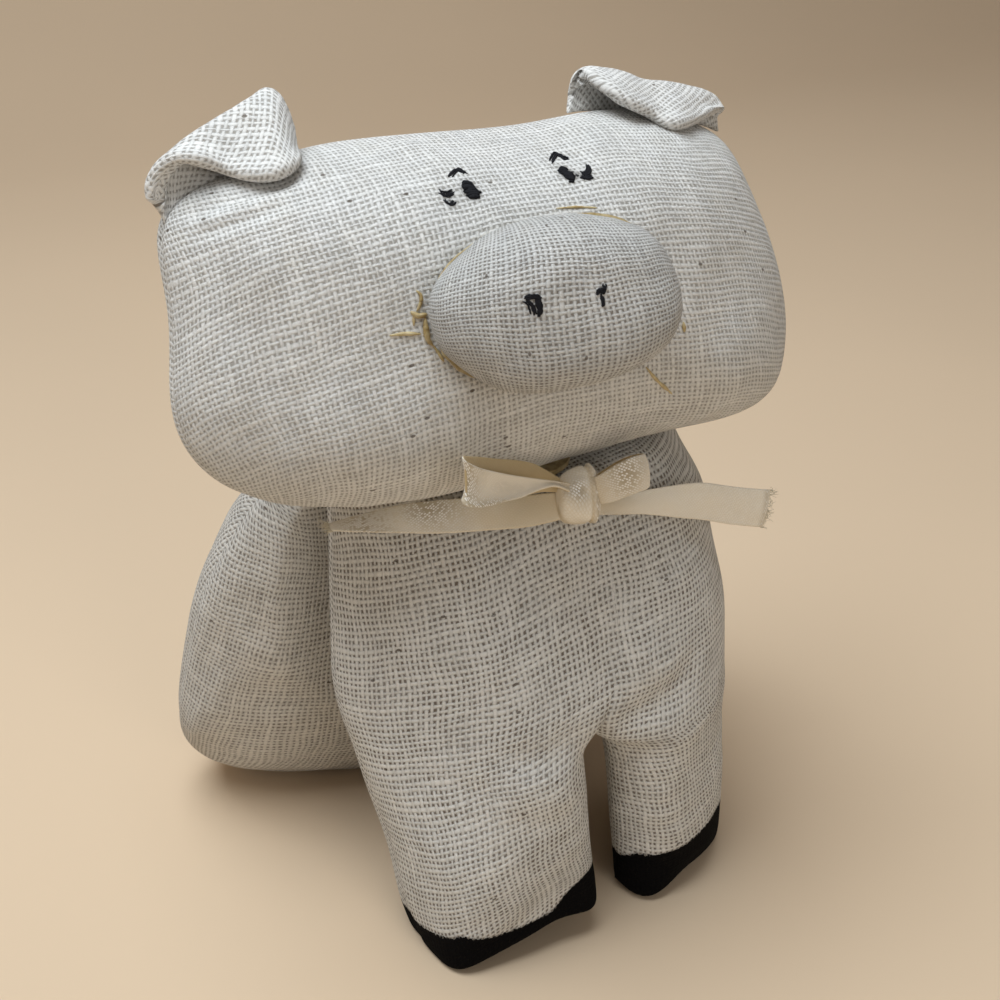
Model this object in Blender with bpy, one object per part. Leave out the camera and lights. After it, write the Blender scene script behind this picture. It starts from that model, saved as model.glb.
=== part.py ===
"""Plush pig: a small stuffed pig of undyed open-weave cotton, sitting on its rump behind its front legs.

Metres, +Z up. The pig looks along -Y, so its right side is at -X. The origin lies under the middle
of its bounding box, on the surface that it sits on. Every stuffed piece is two cloth panels sewn
edge to edge round a filling. The same few builders make them all: a pair of grids for a cushion,
a run of rings for what is solid, and a run of strips for the ribbon.
"""

import math

import bmesh
import bpy
import numpy as np

# Names shared by the builders
ROOT_NAME = "pig"
SIDES = {"right": -1, "left": 1}
SHARP_ANGLE = math.radians(50)
MERGE = 0.000001

# Cloth, glue, thread and clearances
CLOTH = 0.0007
GAP = 0.0003
SLACK_SHARE = 0.008
SEAM_SIDE_SHARES = (0, -0.2, 0)
GLUE_THICK = 0.0005
STITCH_RISE = 0.0004
STITCH_SIDES = 8
STITCH_TOP_SHARE = 0.8

# Head: a wide cushion, leaning back, pressed flat where it sits on the body
HEAD_WIDTH = 0.0938
HEAD_HEIGHT = 0.0530
HEAD_FRONT_DEPTH = 0.0205
HEAD_BACK_DEPTH = 0.0185
HEAD_LEAN = math.radians(17)
HEAD_ROLL = math.radians(-1.5)
HEAD_SIDE_SHIFT = -0.0035
HEAD_BACK_SHIFT = -0.0020
HEAD_SINK = 0.0018
HEAD_TAPER_SHARE = 0.03
HEAD_SPREAD_SHARE = 0.035
HEAD_SQUARE_POWER = 4.4
HEAD_DOME_POWERS = (2.9, 0.62)
HEAD_GRID = (15, 11)
HEAD_SAMPLES = 60

# Nose: an oval pad glued on the face, wider than its foot
NOSE_WIDTH = 0.0356
NOSE_HEIGHT = 0.0214
NOSE_RISE = 0.0105
NOSE_SIDE_SHIFT = -0.0015
NOSE_DROP = -0.0020
NOSE_TURN = math.radians(-4)
NOSE_SQUARE_POWER = 2.5
NOSE_ROUND = math.radians(112)
NOSE_GRID = (11, 9)

# Stitched marks on the face: middle in shares of half the head, size in shares of an eye
EYE_WIDTH = 0.0024
FACE_STITCH_SHARES = {
    "eye_right": ((-0.186, 0.655), (1.0, 1.17)),
    "eye_left": ((0.118, 0.672), (1.0, 0.92)),
    "brow_right": ((-0.207, 0.745), (1.0, 0.33)),
    "brow_left": ((0.088, 0.800), (1.0, 0.33)),
    "lash_right": ((-0.256, 0.630), (1.0, 0.42)),
    "lash_left": ((0.183, 0.672), (0.83, 0.42)),
}
FACE_STITCH_TURN = math.radians(20)

# Nostrils: middle in shares of half the nose, size in shares of a nostril's height
NOSTRIL_HEIGHT = 0.0030
NOSTRIL_SHARES = {
    "nostril_right": ((-0.410, 0.173), (0.6, 1.0)),
    "nostril_left": ((0.125, 0.030), (0.47, 1.0)),
}

# Ears: a folded flap of doubled cloth on each top corner
EAR_THICK = 0.0014
EAR_STAND = 0.0035
EAR_HANG = 0.0125
EAR_LEAST = 0.0012
EAR_LIFT = 0.0010
EAR_ROOT_SHARES = {"right": (0.576, 0.970), "left": (0.352, 0.821)}
EAR_STAND_SHARES = {"right": 1.0, "left": 0.5}
EAR_HANG_SHARES = {"right": 1.0, "left": 1.1}
EAR_FALL_POWER = 1.6
EAR_FOLD_RADIUS = 0.0013
EAR_FOLD = math.radians(142)
EAR_GRID = (9, 10)

# Neck: where the head meets the body
NECK_HEIGHT = 0.0770
NECK_SIDE_SHIFT = -0.0010
NECK_DEPTH = -0.0055
NECK_PAD_RADIUS = 0.0070
NECK_PAD_THICK = 0.0008
NECK_PAD_SIDES = 24

# Chest: the upper part of the front piece
CHEST_WIDTH = 0.0655
CHEST_FRONT_DEPTH = 0.0192
CHEST_BACK_DEPTH = 0.0145
CHEST_PRESSED = 0.0283
CHEST_SQUARE_POWER = 3.4
CHEST_DOME_POWERS = (2.6, 0.6)
CHEST_ROWS = 8
CHEST_SIDE_SHIFT = 0.0025
CHEST_BACK_SHIFT = 0.0010
FRONT_LEAN = math.radians(18)
FRONT_WRAP = 0.0060
FRONT_TUCK_SHARE = 0.08
CROTCH_HEIGHT = 0.0330
CROTCH_SIDE_SHIFT = 0.0035
CROTCH_SHARE = 0.15
PARTING_SHARE = 0.35
MEETING_DEPTH = 0.0105

# Legs: one lobe each side of the crotch
LEG_GAP = 0.0040
LEG_TURN = {"right": math.radians(0), "left": math.radians(22)}
LEG_DEPTH = 0.0105
LEG_TAPER_SHARE = 0.08
LEG_DOME_POWERS = (2.8, 0.55)
LEG_GRID = (8, 5)
HOOF_HEIGHT = 0.0060
HOOF_ROUND = 0.0015

# Rump: the cushion behind, leaning the other way
RUMP_WIDTH = 0.0890
RUMP_FRONT_DEPTH = 0.0190
RUMP_BACK_DEPTH = 0.0210
RUMP_LEAN = math.radians(15)
RUMP_SIDE_SHIFT = -0.0050
RUMP_BACK_SHIFT = 0.0256
RUMP_TOP_PRESSED = 0.0025
RUMP_FOOT_PRESSED = 0.0055
RUMP_TAPER_SHARE = 0.12
RUMP_SQUARE_POWER = 2.5
RUMP_DOME_POWERS = (2.5, 0.6)
RUMP_GRID = (13, 13)


# Bow: a satin ribbon, knotted in front of the neck
RIBBON_WIDTH = 0.0064
RIBBON_THICK = 0.0004
BOW_SIDE_SHIFT = 0.0018
BOW_RISE = 0.0004
KNOT_WIDTH = 0.0062
KNOT_HEIGHT = 0.0074
KNOT_DEPTH = 0.0046
KNOT_PINCH = 0.0030
KNOT_SIDES = 12
KNOT_RINGS = 5
KNOT_ROUND_SHARE = 0.25
KNOT_BOX_POWER = 0.7
LOOP_STEPS = 7
LOOP_OPENING_POWER = 0.7
LOOP_START_RISE = 0.0012
LOOP_LEANS = {"right": math.radians(10), "left": math.radians(20)}

# Where the loops go from the knot, and how open they are, in shares of the ribbon's width
LOOP_SHARES = {
    "right": {"out": 3.30, "forward": 1.66, "rise": 1.78, "radius": 0.25},
    "left": {"out": 1.60, "forward": 0.68, "rise": 0.50, "radius": 0.16},
}

# Where the tails start and where they go, in shares of a tail's length
TAIL_LENGTH = 0.0348
TAIL_STEPS = 12
TAIL_BEND_POWER = 1.5
TAIL_SPREAD_SHARE = 0.4
TAIL_LEANS = {
    "right": (math.radians(35), math.radians(50)),
    "left": (math.radians(20), math.radians(25)),
}
TAIL_SHARES = {
    "right": {"start_back": 0.028, "start_drop": 0.052, "back": 0.270, "drop": 0.000},
    "left": {"start_back": 0.028, "start_drop": 0.052, "back": 0.030, "drop": 0.270},
}

# Finishes: colour, roughness, metallic
FINISHES = {
    "cloth": ((0.72, 0.69, 0.62), 0.9, 0.0),
    "filling": ((0.86, 0.86, 0.86), 1.0, 0.0),
    "glue": ((0.55, 0.40, 0.16), 0.35, 0.0),
    "thread": ((0.02, 0.02, 0.025), 0.8, 0.0),
    "paint": ((0.008, 0.008, 0.009), 0.7, 0.0),
    "satin": ((0.70, 0.62, 0.46), 0.3, 0.0),
}


def clear_scene():
    for old in list(bpy.data.objects):
        bpy.data.objects.remove(old, do_unlink=True)


def spread(count):
    """Values from -1 to 1, closer together towards both ends."""
    steps = np.linspace(-1, 1, count)
    return np.sin(steps * math.pi / 2)


def squircle(across, up, squareness):
    """A square grid's points drawn in, ring by ring, to rounded squares."""
    ring = np.maximum(np.abs(across), np.abs(up))
    reach = (np.abs(across) ** squareness + np.abs(up) ** squareness) ** (1 / squareness)
    keep = np.divide(ring, reach, out=np.ones_like(ring), where=reach > 0)
    return across * keep, up * keep, ring


def turned(points, angle, axis):
    """Points turned about one of the three axes through the origin."""
    first, second = ((1, 2), (2, 0), (0, 1))[axis]
    result = points.copy()
    cosine, sine = math.cos(angle), math.sin(angle)
    result[..., first] = points[..., first] * cosine - points[..., second] * sine
    result[..., second] = points[..., first] * sine + points[..., second] * cosine
    return result


def pressed(points, on_plane, outward, slack_share=0.0):
    """Points that pass a plane, put back on it, or a little behind it the less they passed it."""
    outward = np.array(outward) / np.linalg.norm(outward)
    past = (points - np.array(on_plane)) @ outward
    back = np.where(past > 0, past + slack_share * (past.max() - past), 0)
    return points - back[..., None] * outward


def unit(vectors):
    length = np.linalg.norm(vectors, axis=-1, keepdims=True)
    return vectors / np.maximum(length, MERGE)


def grid_normals(grid, outward):
    """The way out at each point of a grid; outward is a rough guide to it in the grid's middle."""
    normals = unit(np.cross(np.gradient(grid, axis=0), np.gradient(grid, axis=1)))
    middle = normals[grid.shape[0] // 2, grid.shape[1] // 2]
    return normals * np.sign(middle @ np.array(outward))


def settle_corners(normals):
    """A grid's four corners take the mean of their neighbours on the rim, where they have no own."""
    for row, next_row in ((0, 1), (-1, -2)):
        for column, next_column in ((0, 1), (-1, -2)):
            normals[row, column] = unit(normals[next_row, column] + normals[row, next_column])
    return normals


def mesh_object(name, points, faces, finish, pivot, parent):
    """One closed mesh object with its origin at pivot; points are in the pig's frame."""
    mesh = bpy.data.meshes.new(name)
    moved = np.reshape(points, (-1, 3)) - np.array(pivot)
    mesh.from_pydata([tuple(point) for point in moved], [], faces)
    body = bmesh.new()
    body.from_mesh(mesh)
    bmesh.ops.remove_doubles(body, verts=body.verts, dist=MERGE)
    bmesh.ops.recalc_face_normals(body, faces=body.faces)
    body.to_mesh(mesh)
    body.free()
    mesh.shade_smooth()
    mesh.set_sharp_from_angle(angle=SHARP_ANGLE)
    mesh.materials.append(make_material(f"{name}_{finish}", *FINISHES[finish]))
    made = bpy.data.objects.new(name, mesh)
    bpy.context.collection.objects.link(made)
    made.location = np.array(pivot) - np.array(pivot_of(parent))
    made.parent = parent
    return made


def pivot_of(parent):
    """Where an empty stands in the pig's frame."""
    place = np.zeros(3)
    while parent is not None and parent.name != ROOT_NAME:
        place = place + np.array(parent.location)
        parent = parent.parent
    return place


def grid_faces(rows, columns, start, flipped):
    """Triangles of a grid, with the diagonals mirrored from quarter to quarter."""
    faces = []
    for row in range(rows - 1):
        for column in range(columns - 1):
            low = start + row * columns + column
            corners = [low, low + 1, low + columns + 1, low + columns]
            if (2 * row < rows - 1) == (2 * column < columns - 1):
                pair = [[corners[0], corners[1], corners[2]], [corners[0], corners[2], corners[3]]]
            else:
                pair = [[corners[0], corners[1], corners[3]], [corners[1], corners[2], corners[3]]]
            faces += [face[::-1] for face in pair] if flipped else pair
    return faces


def between(near, far):
    """Points and faces of the closed body between two grids, with walls from edge to edge."""
    rows, columns = near.shape[:2]
    count = rows * columns
    faces = grid_faces(rows, columns, 0, False) + grid_faces(rows, columns, count, True)
    index = np.arange(count).reshape(rows, columns)
    rim = list(index[0, :-1]) + list(index[:-1, -1]) + list(index[-1, :0:-1]) + list(index[:0:-1, 0])
    for here, there in zip(rim, rim[1:] + rim[:1]):
        here, there = int(here), int(there)
        faces.append([there, here, here + count])
        faces.append([there, here + count, there + count])
    return np.concatenate([near.reshape(-1, 3), far.reshape(-1, 3)]), faces


def loft(rings):
    """Points and faces of a body run through rings of equal count, its ends closed flat."""
    count = len(rings[0])
    faces = [list(range(count))[::-1]]
    for ring in range(len(rings) - 1):
        for step in range(count):
            here, there = ring * count + step, ring * count + (step + 1) % count
            faces.append([here, there, there + count])
            faces.append([here, there + count, here + count])
    last = (len(rings) - 1) * count
    faces.append([last + step for step in range(count)])
    return np.concatenate(rings), faces


def sewn(front, back, flats):
    """The outer and inner faces of two sewn panels, and the two faces of the filling inside.

    flats lists the planes that the outer faces are pressed on, each with its way out, and whether
    the cloth goes on behind it; where it doesn't, the piece ends there.
    """
    front_out = settle_corners(grid_normals(front, (0, -1, 0)))
    back_out = settle_corners(grid_normals(back, (0, 1, 0)))
    seam = (np.linalg.norm(front - back, axis=-1) < MERGE)[..., None]
    edge_out = unit(front_out + back_out)
    apart = np.where(seam, unit(front_out - back_out + np.array(SEAM_SIDE_SHARES)) * GAP / 2, 0)
    front_out = np.where(seam, edge_out, front_out)
    back_out = np.where(seam, edge_out, back_out)
    inset = CLOTH + GAP
    depths = {"front_panel": (0, CLOTH), "back_panel": (0, CLOTH), "filling": (inset, inset)}
    faces = {
        "front_panel": [front + apart, front + apart - front_out * CLOTH],
        "back_panel": [back - apart, back - apart - back_out * CLOTH],
        "filling": [front - front_out * inset, back - back_out * inset],
    }
    for part, pair in faces.items():
        for side, depth in enumerate(depths[part]):
            for on_plane, outward, goes_on in flats:
                behind = np.array(on_plane) - np.array(outward) * depth * goes_on
                pair[side] = pressed(pair[side], behind, outward, SLACK_SHARE * goes_on)
    return faces


def sewn_objects(name, front, back, flats, pivot, parent):
    """The three objects of a stuffed piece: its front, its back and its filling."""
    for part, (near, far) in sewn(front, back, flats).items():
        finish = "filling" if part == "filling" else "cloth"
        mesh_object(f"{name}_{part}", *between(near, far), finish, pivot, parent)


def cushion_grids(width, height, depths, squareness, dome, counts):
    """Front and back faces of a cushion that stands on its edge."""
    across, up = np.meshgrid(spread(counts[0]), spread(counts[1]))
    across, up, ring = squircle(across, up, squareness)
    rise = (1 - ring ** dome[0]) ** dome[1]
    front = np.stack([across * width / 2, -rise * depths[0], up * height / 2], axis=-1)
    back = np.stack([across * width / 2, rise * depths[1], up * height / 2], axis=-1)
    return front, back


def seat_height():
    """The level that the head sits on: the top of the glue between it and the body."""
    return NECK_HEIGHT + GAP + NECK_PAD_THICK + GAP


def head_place(points):
    """From the head's own frame, its middle at the origin, to the pig's frame."""
    placed = points.copy()
    placed[..., 2] *= 1 - HEAD_TAPER_SHARE * points[..., 0] / (HEAD_WIDTH / 2)
    placed[..., 0] *= 1 - HEAD_SPREAD_SHARE * points[..., 2] / (HEAD_HEIGHT / 2)
    placed = turned(turned(placed, -HEAD_LEAN, 0), HEAD_ROLL, 1)
    stand = HEAD_HEIGHT / 2 * math.cos(HEAD_LEAN) - HEAD_SINK
    return placed + np.array([HEAD_SIDE_SHIFT, HEAD_BACK_SHIFT, seat_height() + stand])


def face_ring(across, up):
    """How far out on the head a place on the face lies: 0 in the middle, 1 on the seam."""
    shares = (np.abs(across) / (HEAD_WIDTH / 2)) ** HEAD_SQUARE_POWER
    shares = shares + (np.abs(up) / (HEAD_HEIGHT / 2)) ** HEAD_SQUARE_POWER
    return np.minimum(shares ** (1 / HEAD_SQUARE_POWER), 1)


def face_depth(across, up):
    """The face's surface, as depth along the head's own front."""
    return -HEAD_FRONT_DEPTH * (1 - face_ring(across, up) ** HEAD_DOME_POWERS[0]) ** HEAD_DOME_POWERS[1]


def crown_height(across):
    """Height of the head's top seam above its middle."""
    share = np.abs(across) / (HEAD_WIDTH / 2)
    return HEAD_HEIGHT / 2 * (1 - share ** HEAD_SQUARE_POWER) ** (1 / HEAD_SQUARE_POWER)


def crown_rise(across):
    """How far the way out of the head's top seam points up: 1 where the seam is level."""
    power = HEAD_SQUARE_POWER - 1
    sideways = (np.abs(across) / (HEAD_WIDTH / 2)) ** power / HEAD_WIDTH
    upwards = (crown_height(across) / (HEAD_HEIGHT / 2)) ** power / HEAD_HEIGHT
    return upwards / np.hypot(sideways, upwards)


def make_head(pivot, parent):
    depths = (HEAD_FRONT_DEPTH, HEAD_BACK_DEPTH)
    front, back = cushion_grids(
        HEAD_WIDTH, HEAD_HEIGHT, depths, HEAD_SQUARE_POWER, HEAD_DOME_POWERS, HEAD_GRID
    )
    seat = ((0, 0, seat_height()), (0, 0, -1), True)
    front, back = (pressed(head_place(grid), *seat[:2]) for grid in (front, back))
    sewn_objects("head", front, back, [seat], pivot, parent)


def nose_place(across, depth, up):
    """From the nose's own oval to the head's frame, standing on the face."""
    points = turned(np.stack([across, depth, up], axis=-1), NOSE_TURN, 1)
    points = points + np.array([NOSE_SIDE_SHIFT, 0, -NOSE_DROP])
    points[..., 1] += face_depth(points[..., 0], points[..., 2])
    return points


def nose_surface(across, up):
    """Height of the nose above its foot."""
    shares = (np.abs(across) / (NOSE_WIDTH / 2)) ** NOSE_SQUARE_POWER
    shares = shares + (np.abs(up) / (NOSE_HEIGHT / 2)) ** NOSE_SQUARE_POWER
    angle = np.arcsin(np.minimum(shares ** (1 / NOSE_SQUARE_POWER), 1))
    return NOSE_RISE * (np.cos(angle) - math.cos(NOSE_ROUND)) / (1 - math.cos(NOSE_ROUND))


def make_nose(pivot, parent):
    across, up = np.meshgrid(spread(NOSE_GRID[0]), spread(NOSE_GRID[1]))
    across, up, ring = squircle(across, up, NOSE_SQUARE_POWER)
    angle = ring * NOSE_ROUND
    out = np.divide(np.sin(angle), ring, out=np.ones_like(ring), where=ring > 0)
    rise = NOSE_RISE * (np.cos(angle) - math.cos(NOSE_ROUND)) / (1 - math.cos(NOSE_ROUND))
    foot = GAP + GLUE_THICK + GAP
    outer = nose_place(across * out * NOSE_WIDTH / 2, -foot - rise, up * out * NOSE_HEIGHT / 2)
    normals = settle_corners(grid_normals(outer, (0, -1, 0)))
    inner = outer - normals * CLOTH
    cover = between(head_place(outer), head_place(inner))
    mesh_object("nose_cover", *cover, "cloth", pivot, parent)

    stuffed = outer - normals * (CLOTH + GAP)
    foot_share = math.sin(NOSE_ROUND) - (CLOTH + GAP) / (NOSE_HEIGHT / 2)
    flat = nose_place(
        across * foot_share * NOSE_WIDTH / 2, np.full_like(ring, -foot), up * foot_share * NOSE_HEIGHT / 2
    )
    filling = between(head_place(stuffed), head_place(flat))
    mesh_object("nose_filling", *filling, "filling", pivot, parent)

    glued = math.sin(NOSE_ROUND)
    layers = [
        nose_place(
            across * glued * NOSE_WIDTH / 2, np.full_like(ring, -depth), up * glued * NOSE_HEIGHT / 2
        )
        for depth in (GAP, GAP + GLUE_THICK)
    ]
    glue = between(head_place(layers[1]), head_place(layers[0]))
    mesh_object("nose_glue", *glue, "glue", pivot, parent)


def stitch(name, middle, size, angle, place, pivot, parent):
    """A small flat stitch: an oval pad on a surface that place() knows."""
    steps = np.arange(STITCH_SIDES) * 2 * math.pi / STITCH_SIDES
    rings = []
    for rise, share in ((GAP, 1.0), (GAP + STITCH_RISE, STITCH_TOP_SHARE)):
        across = np.cos(steps) * size[0] / 2 * share
        up = np.sin(steps) * size[1] / 2 * share
        turned_across = across * math.cos(angle) - up * math.sin(angle) + middle[0]
        turned_up = across * math.sin(angle) + up * math.cos(angle) + middle[1]
        rings.append(place(turned_across, rise, turned_up))
    mesh_object(name, *loft(rings), "thread", pivot, parent)


def on_face(across, rise, up):
    depth = face_depth(across, up) - rise
    return head_place(np.stack([across, depth, up], axis=-1))


def on_nose(across, rise, up):
    foot = GAP + GLUE_THICK + GAP
    return head_place(nose_place(across, -foot - nose_surface(across, up) - rise, up))


def make_face(pivot, parent):
    half_head = np.array([HEAD_WIDTH, HEAD_HEIGHT]) / 2
    for name, (middle, size) in FACE_STITCH_SHARES.items():
        angle = 0 if name.startswith("eye") else FACE_STITCH_TURN
        size = np.array(size) * EYE_WIDTH
        stitch(name, np.array(middle) * half_head, size, angle, on_face, pivot, parent)
    half_nose = np.array([NOSE_WIDTH, NOSE_HEIGHT]) / 2
    for name, (middle, size) in NOSTRIL_SHARES.items():
        size = np.array(size) * NOSTRIL_HEIGHT
        stitch(name, np.array(middle) * half_nose, size, 0, on_nose, pivot, parent)


def ear_middle(along, over, side):
    """A place on the middle of an ear's doubled cloth: along its root, and over its fold."""
    inner, outer = EAR_ROOT_SHARES[side]
    across = (inner + (outer - inner) * along) * HEAD_WIDTH / 2
    stand = EAR_STAND * EAR_STAND_SHARES[side] * (1 - along ** EAR_FALL_POWER) + EAR_LEAST
    hang = EAR_HANG * EAR_HANG_SHARES[side] * (1 - along ** EAR_FALL_POWER) + EAR_LEAST
    bend = EAR_FOLD_RADIUS * EAR_FOLD
    length = over * (stand + bend + hang)
    angle = np.clip((length - stand) / EAR_FOLD_RADIUS, 0, EAR_FOLD)
    after = np.maximum(length - stand - bend, 0)
    depth = -EAR_FOLD_RADIUS * (1 - np.cos(angle)) - after * math.sin(EAR_FOLD)
    up = np.minimum(length, stand) + EAR_FOLD_RADIUS * np.sin(angle) + after * math.cos(EAR_FOLD)
    up = crown_height(across) + GAP / crown_rise(across) + up
    clear = face_depth(across, np.minimum(up, crown_height(across))) - GAP - EAR_THICK - EAR_LIFT
    depth = np.minimum(depth, clear * np.minimum(after / EAR_THICK, 1))
    return np.stack([SIDES[side] * across, depth, up], axis=-1)


def make_ear(side, parent):
    name = f"ear_{side}"
    along, over = np.meshgrid(np.linspace(0, 1, EAR_GRID[0]), np.linspace(0, 1, EAR_GRID[1]))
    middle = ear_middle(along, over, side)
    normals = settle_corners(grid_normals(middle, (0, -1, 0)))
    outer = head_place(middle + normals * EAR_THICK / 2)
    inner = head_place(middle - normals * EAR_THICK / 2)
    ends = head_place(ear_middle(np.array([0.0, 1.0]), np.zeros(2), side))
    hinge = add_empty(f"{name}_hinge", ends.mean(axis=0), parent)
    mesh_object(name, *between(outer, inner), "cloth", ends.mean(axis=0), hinge)


def front_place(points):
    """The front piece leans back and wraps round; its rows stay level."""
    placed = points.copy()
    low = np.clip((NECK_HEIGHT - points[..., 2]) / (NECK_HEIGHT - CROTCH_HEIGHT), 0, 1)
    placed[..., 0] *= np.where(points[..., 0] > 0, 1 - FRONT_TUCK_SHARE * low, 1)
    lean = np.minimum(points[..., 2] - NECK_HEIGHT, 0) * math.tan(FRONT_LEAN)
    wrap = FRONT_WRAP * (points[..., 0] / (CHEST_WIDTH / 2)) ** 2
    placed[..., 1] += lean + wrap + CHEST_BACK_SHIFT
    placed[..., 0] += CHEST_SIDE_SHIFT
    return placed


def lobe(share):
    """Fullness across one leg, from seam to seam."""
    return (1 - np.abs(share) ** LEG_DOME_POWERS[0]) ** LEG_DOME_POWERS[1]


def chest_height():
    """Height of the chest's cushion above the crotch, before the head presses its top flat."""
    return NECK_HEIGHT - CROTCH_HEIGHT - GAP + CHEST_PRESSED


def crotch_share():
    """Where the crotch lies across the chest, from -1 to 1."""
    return CROTCH_SIDE_SHIFT / (CHEST_WIDTH / 2)


def lobed_spread(count):
    """Columns across both legs, closer together at each seam."""
    half = (1 + spread(count)) / 2
    parting = crotch_share()
    return np.concatenate([parting - half[::-1] * (1 + parting), parting + half[1:] * (1 - parting)])


def chest_face(across, up, ring, depth):
    """Depth of the chest's front or back: one cushion above, parting in two above the legs."""
    whole = (1 - ring ** CHEST_DOME_POWERS[0]) ** CHEST_DOME_POWERS[1]
    parted = np.clip(1 - up / PARTING_SHARE, 0, 1) ** 2
    low = np.minimum(up, PARTING_SHARE)
    across = across / (1 - low ** CHEST_SQUARE_POWER) ** (1 / CHEST_SQUARE_POWER)
    parting = crotch_share()
    side = np.where(across > parting, 1 - parting, 1 + parting)
    two = np.maximum(lobe(np.clip(2 * np.abs(across - parting) / side - 1, -1, 1)), CROTCH_SHARE * whole)
    return depth * (whole * (1 - parted) + two * parted)


def make_chest(parent):
    columns = lobed_spread(LEG_GRID[0])
    rows = np.sin(np.linspace(0, 1, CHEST_ROWS) * math.pi / 2)
    across, up = np.meshgrid(columns, rows)
    across, up, ring = squircle(across, up, CHEST_SQUARE_POWER)
    neck = ((0, 0, NECK_HEIGHT), (0, 0, 1), True)
    meeting = ((0, MEETING_DEPTH - GAP / 2, 0), (0, 1, 0), True)
    end = ((0, 0, CROTCH_HEIGHT + GAP), (0, 0, -1), False)
    grids = []
    for depth, side in ((CHEST_FRONT_DEPTH, -1), (CHEST_BACK_DEPTH, 1)):
        points = np.stack(
            [
                across * CHEST_WIDTH / 2,
                side * chest_face(across, up, ring, depth),
                CROTCH_HEIGHT + GAP + up * chest_height(),
            ],
            axis=-1,
        )
        placed = pressed(front_place(points), *neck[:2], SLACK_SHARE)
        grids.append(pressed(placed, *meeting[:2], SLACK_SHARE))
    sewn_objects("chest", *grids, [neck, meeting, end], (0, 0, 0), parent)


def leg_points(side, share, down, depth_side, top_depth):
    """A leg's face: share runs from its inner seam to its outer, down from the crotch to the sole."""
    sign = SIDES[side]
    full_half = (CHEST_WIDTH / 2 - sign * CROTCH_SIDE_SHIFT - LEG_GAP / 2) / 2
    half = full_half * (1 - LEG_TAPER_SHARE * down)
    middle = LEG_GAP / 2 + full_half
    depth = top_depth * (1 - down) + LEG_DEPTH * down
    offset_across = share * half
    offset_depth = depth_side * depth * lobe(share)
    angle = LEG_TURN[side] * down
    inner = -half
    pivoted = offset_across - inner
    turned_across = pivoted * np.cos(angle) - offset_depth * np.sin(angle) + inner
    turned_depth = pivoted * np.sin(angle) + offset_depth * np.cos(angle)
    across = CROTCH_SIDE_SHIFT + sign * (middle + turned_across)
    return np.stack([across, turned_depth, CROTCH_HEIGHT * (1 - down)], axis=-1)


def leg_ring(side, height, inset):
    """A level ring round a leg from seam to seam and back, set in from its surface."""
    down = 1 - height / CROTCH_HEIGHT
    columns = spread(LEG_GRID[0])
    loop = []
    for depth_side, top_depth, order in (
        (-1, CHEST_FRONT_DEPTH, columns),
        (1, CHEST_BACK_DEPTH, columns[::-1]),
    ):
        order = order[:-1]
        loop.append(leg_points(side, order, np.full(len(order), down), depth_side, top_depth))
    points = front_place(np.concatenate(loop))
    along = np.roll(points, -1, axis=0) - np.roll(points, 1, axis=0)
    inward = unit(np.stack([-along[:, 1], along[:, 0], np.zeros(len(along))], axis=-1))
    toward_middle = ((points.mean(axis=0) - points) * inward).sum()
    return points + inward * inset * np.sign(toward_middle)


def make_leg(side, parent):
    columns = spread(LEG_GRID[0]) * SIDES[side]
    heights = np.linspace(HOOF_HEIGHT, CROTCH_HEIGHT, LEG_GRID[1])
    share, down = np.meshgrid(columns, 1 - heights / CROTCH_HEIGHT)
    front, back = (
        front_place(leg_points(side, share, down, depth_side, top_depth))
        for depth_side, top_depth in ((-1, CHEST_FRONT_DEPTH), (1, CHEST_BACK_DEPTH))
    )
    ends = [((0, 0, HOOF_HEIGHT), (0, 0, -1), False), ((0, 0, CROTCH_HEIGHT), (0, 0, 1), False)]
    for part, (near, far) in sewn(front, back, ends).items():
        if part != "filling":
            mesh_object(f"leg_{side}_{part}", *between(near, far), "cloth", (0, 0, 0), parent)
    inset = CLOTH + GAP + GAP
    rings = [leg_ring(side, CLOTH + GAP, HOOF_ROUND + inset), leg_ring(side, HOOF_ROUND + GAP, inset)]
    rings += [leg_ring(side, height, inset) for height in heights]
    mesh_object(f"leg_{side}_filling", *loft(rings), "filling", (0, 0, 0), parent)
    make_hoof(side, parent)


def make_hoof(side, parent):
    top = HOOF_HEIGHT - GAP
    outer = [leg_ring(side, top, 0), leg_ring(side, HOOF_ROUND, 0), leg_ring(side, 0, HOOF_ROUND)]
    inner = [
        leg_ring(side, top, CLOTH),
        leg_ring(side, HOOF_ROUND, CLOTH),
        leg_ring(side, CLOTH, HOOF_ROUND + CLOTH),
    ]
    mesh_object(f"hoof_{side}", *loft(outer[::-1] + inner), "paint", (0, 0, 0), parent)


def make_rump(parent):
    top = NECK_HEIGHT + RUMP_TOP_PRESSED
    height = (top + RUMP_FOOT_PRESSED) / math.cos(RUMP_LEAN)
    depths = (RUMP_FRONT_DEPTH, RUMP_BACK_DEPTH)
    front, back = cushion_grids(
        RUMP_WIDTH, height, depths, RUMP_SQUARE_POWER, RUMP_DOME_POWERS, RUMP_GRID
    )
    middle = np.array([RUMP_SIDE_SHIFT, RUMP_BACK_SHIFT, (top - RUMP_FOOT_PRESSED) / 2])
    floor = ((0, 0, 0), (0, 0, -1), True)
    neck = ((0, 0, NECK_HEIGHT), (0, 0, 1), True)
    meeting = ((0, MEETING_DEPTH + GAP / 2, 0), (0, -1, 0), True)
    grids = []
    for grid in (front, back):
        grid[..., 0] *= 1 - RUMP_TAPER_SHARE * grid[..., 2] / (height / 2)
        placed = turned(grid, RUMP_LEAN, 0) + middle
        placed = pressed(pressed(placed, *floor[:2]), *neck[:2], SLACK_SHARE)
        grids.append(pressed(placed, *meeting[:2], SLACK_SHARE))
    sewn_objects("rump", *grids, [floor, neck, meeting], (0, 0, 0), parent)


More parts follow.
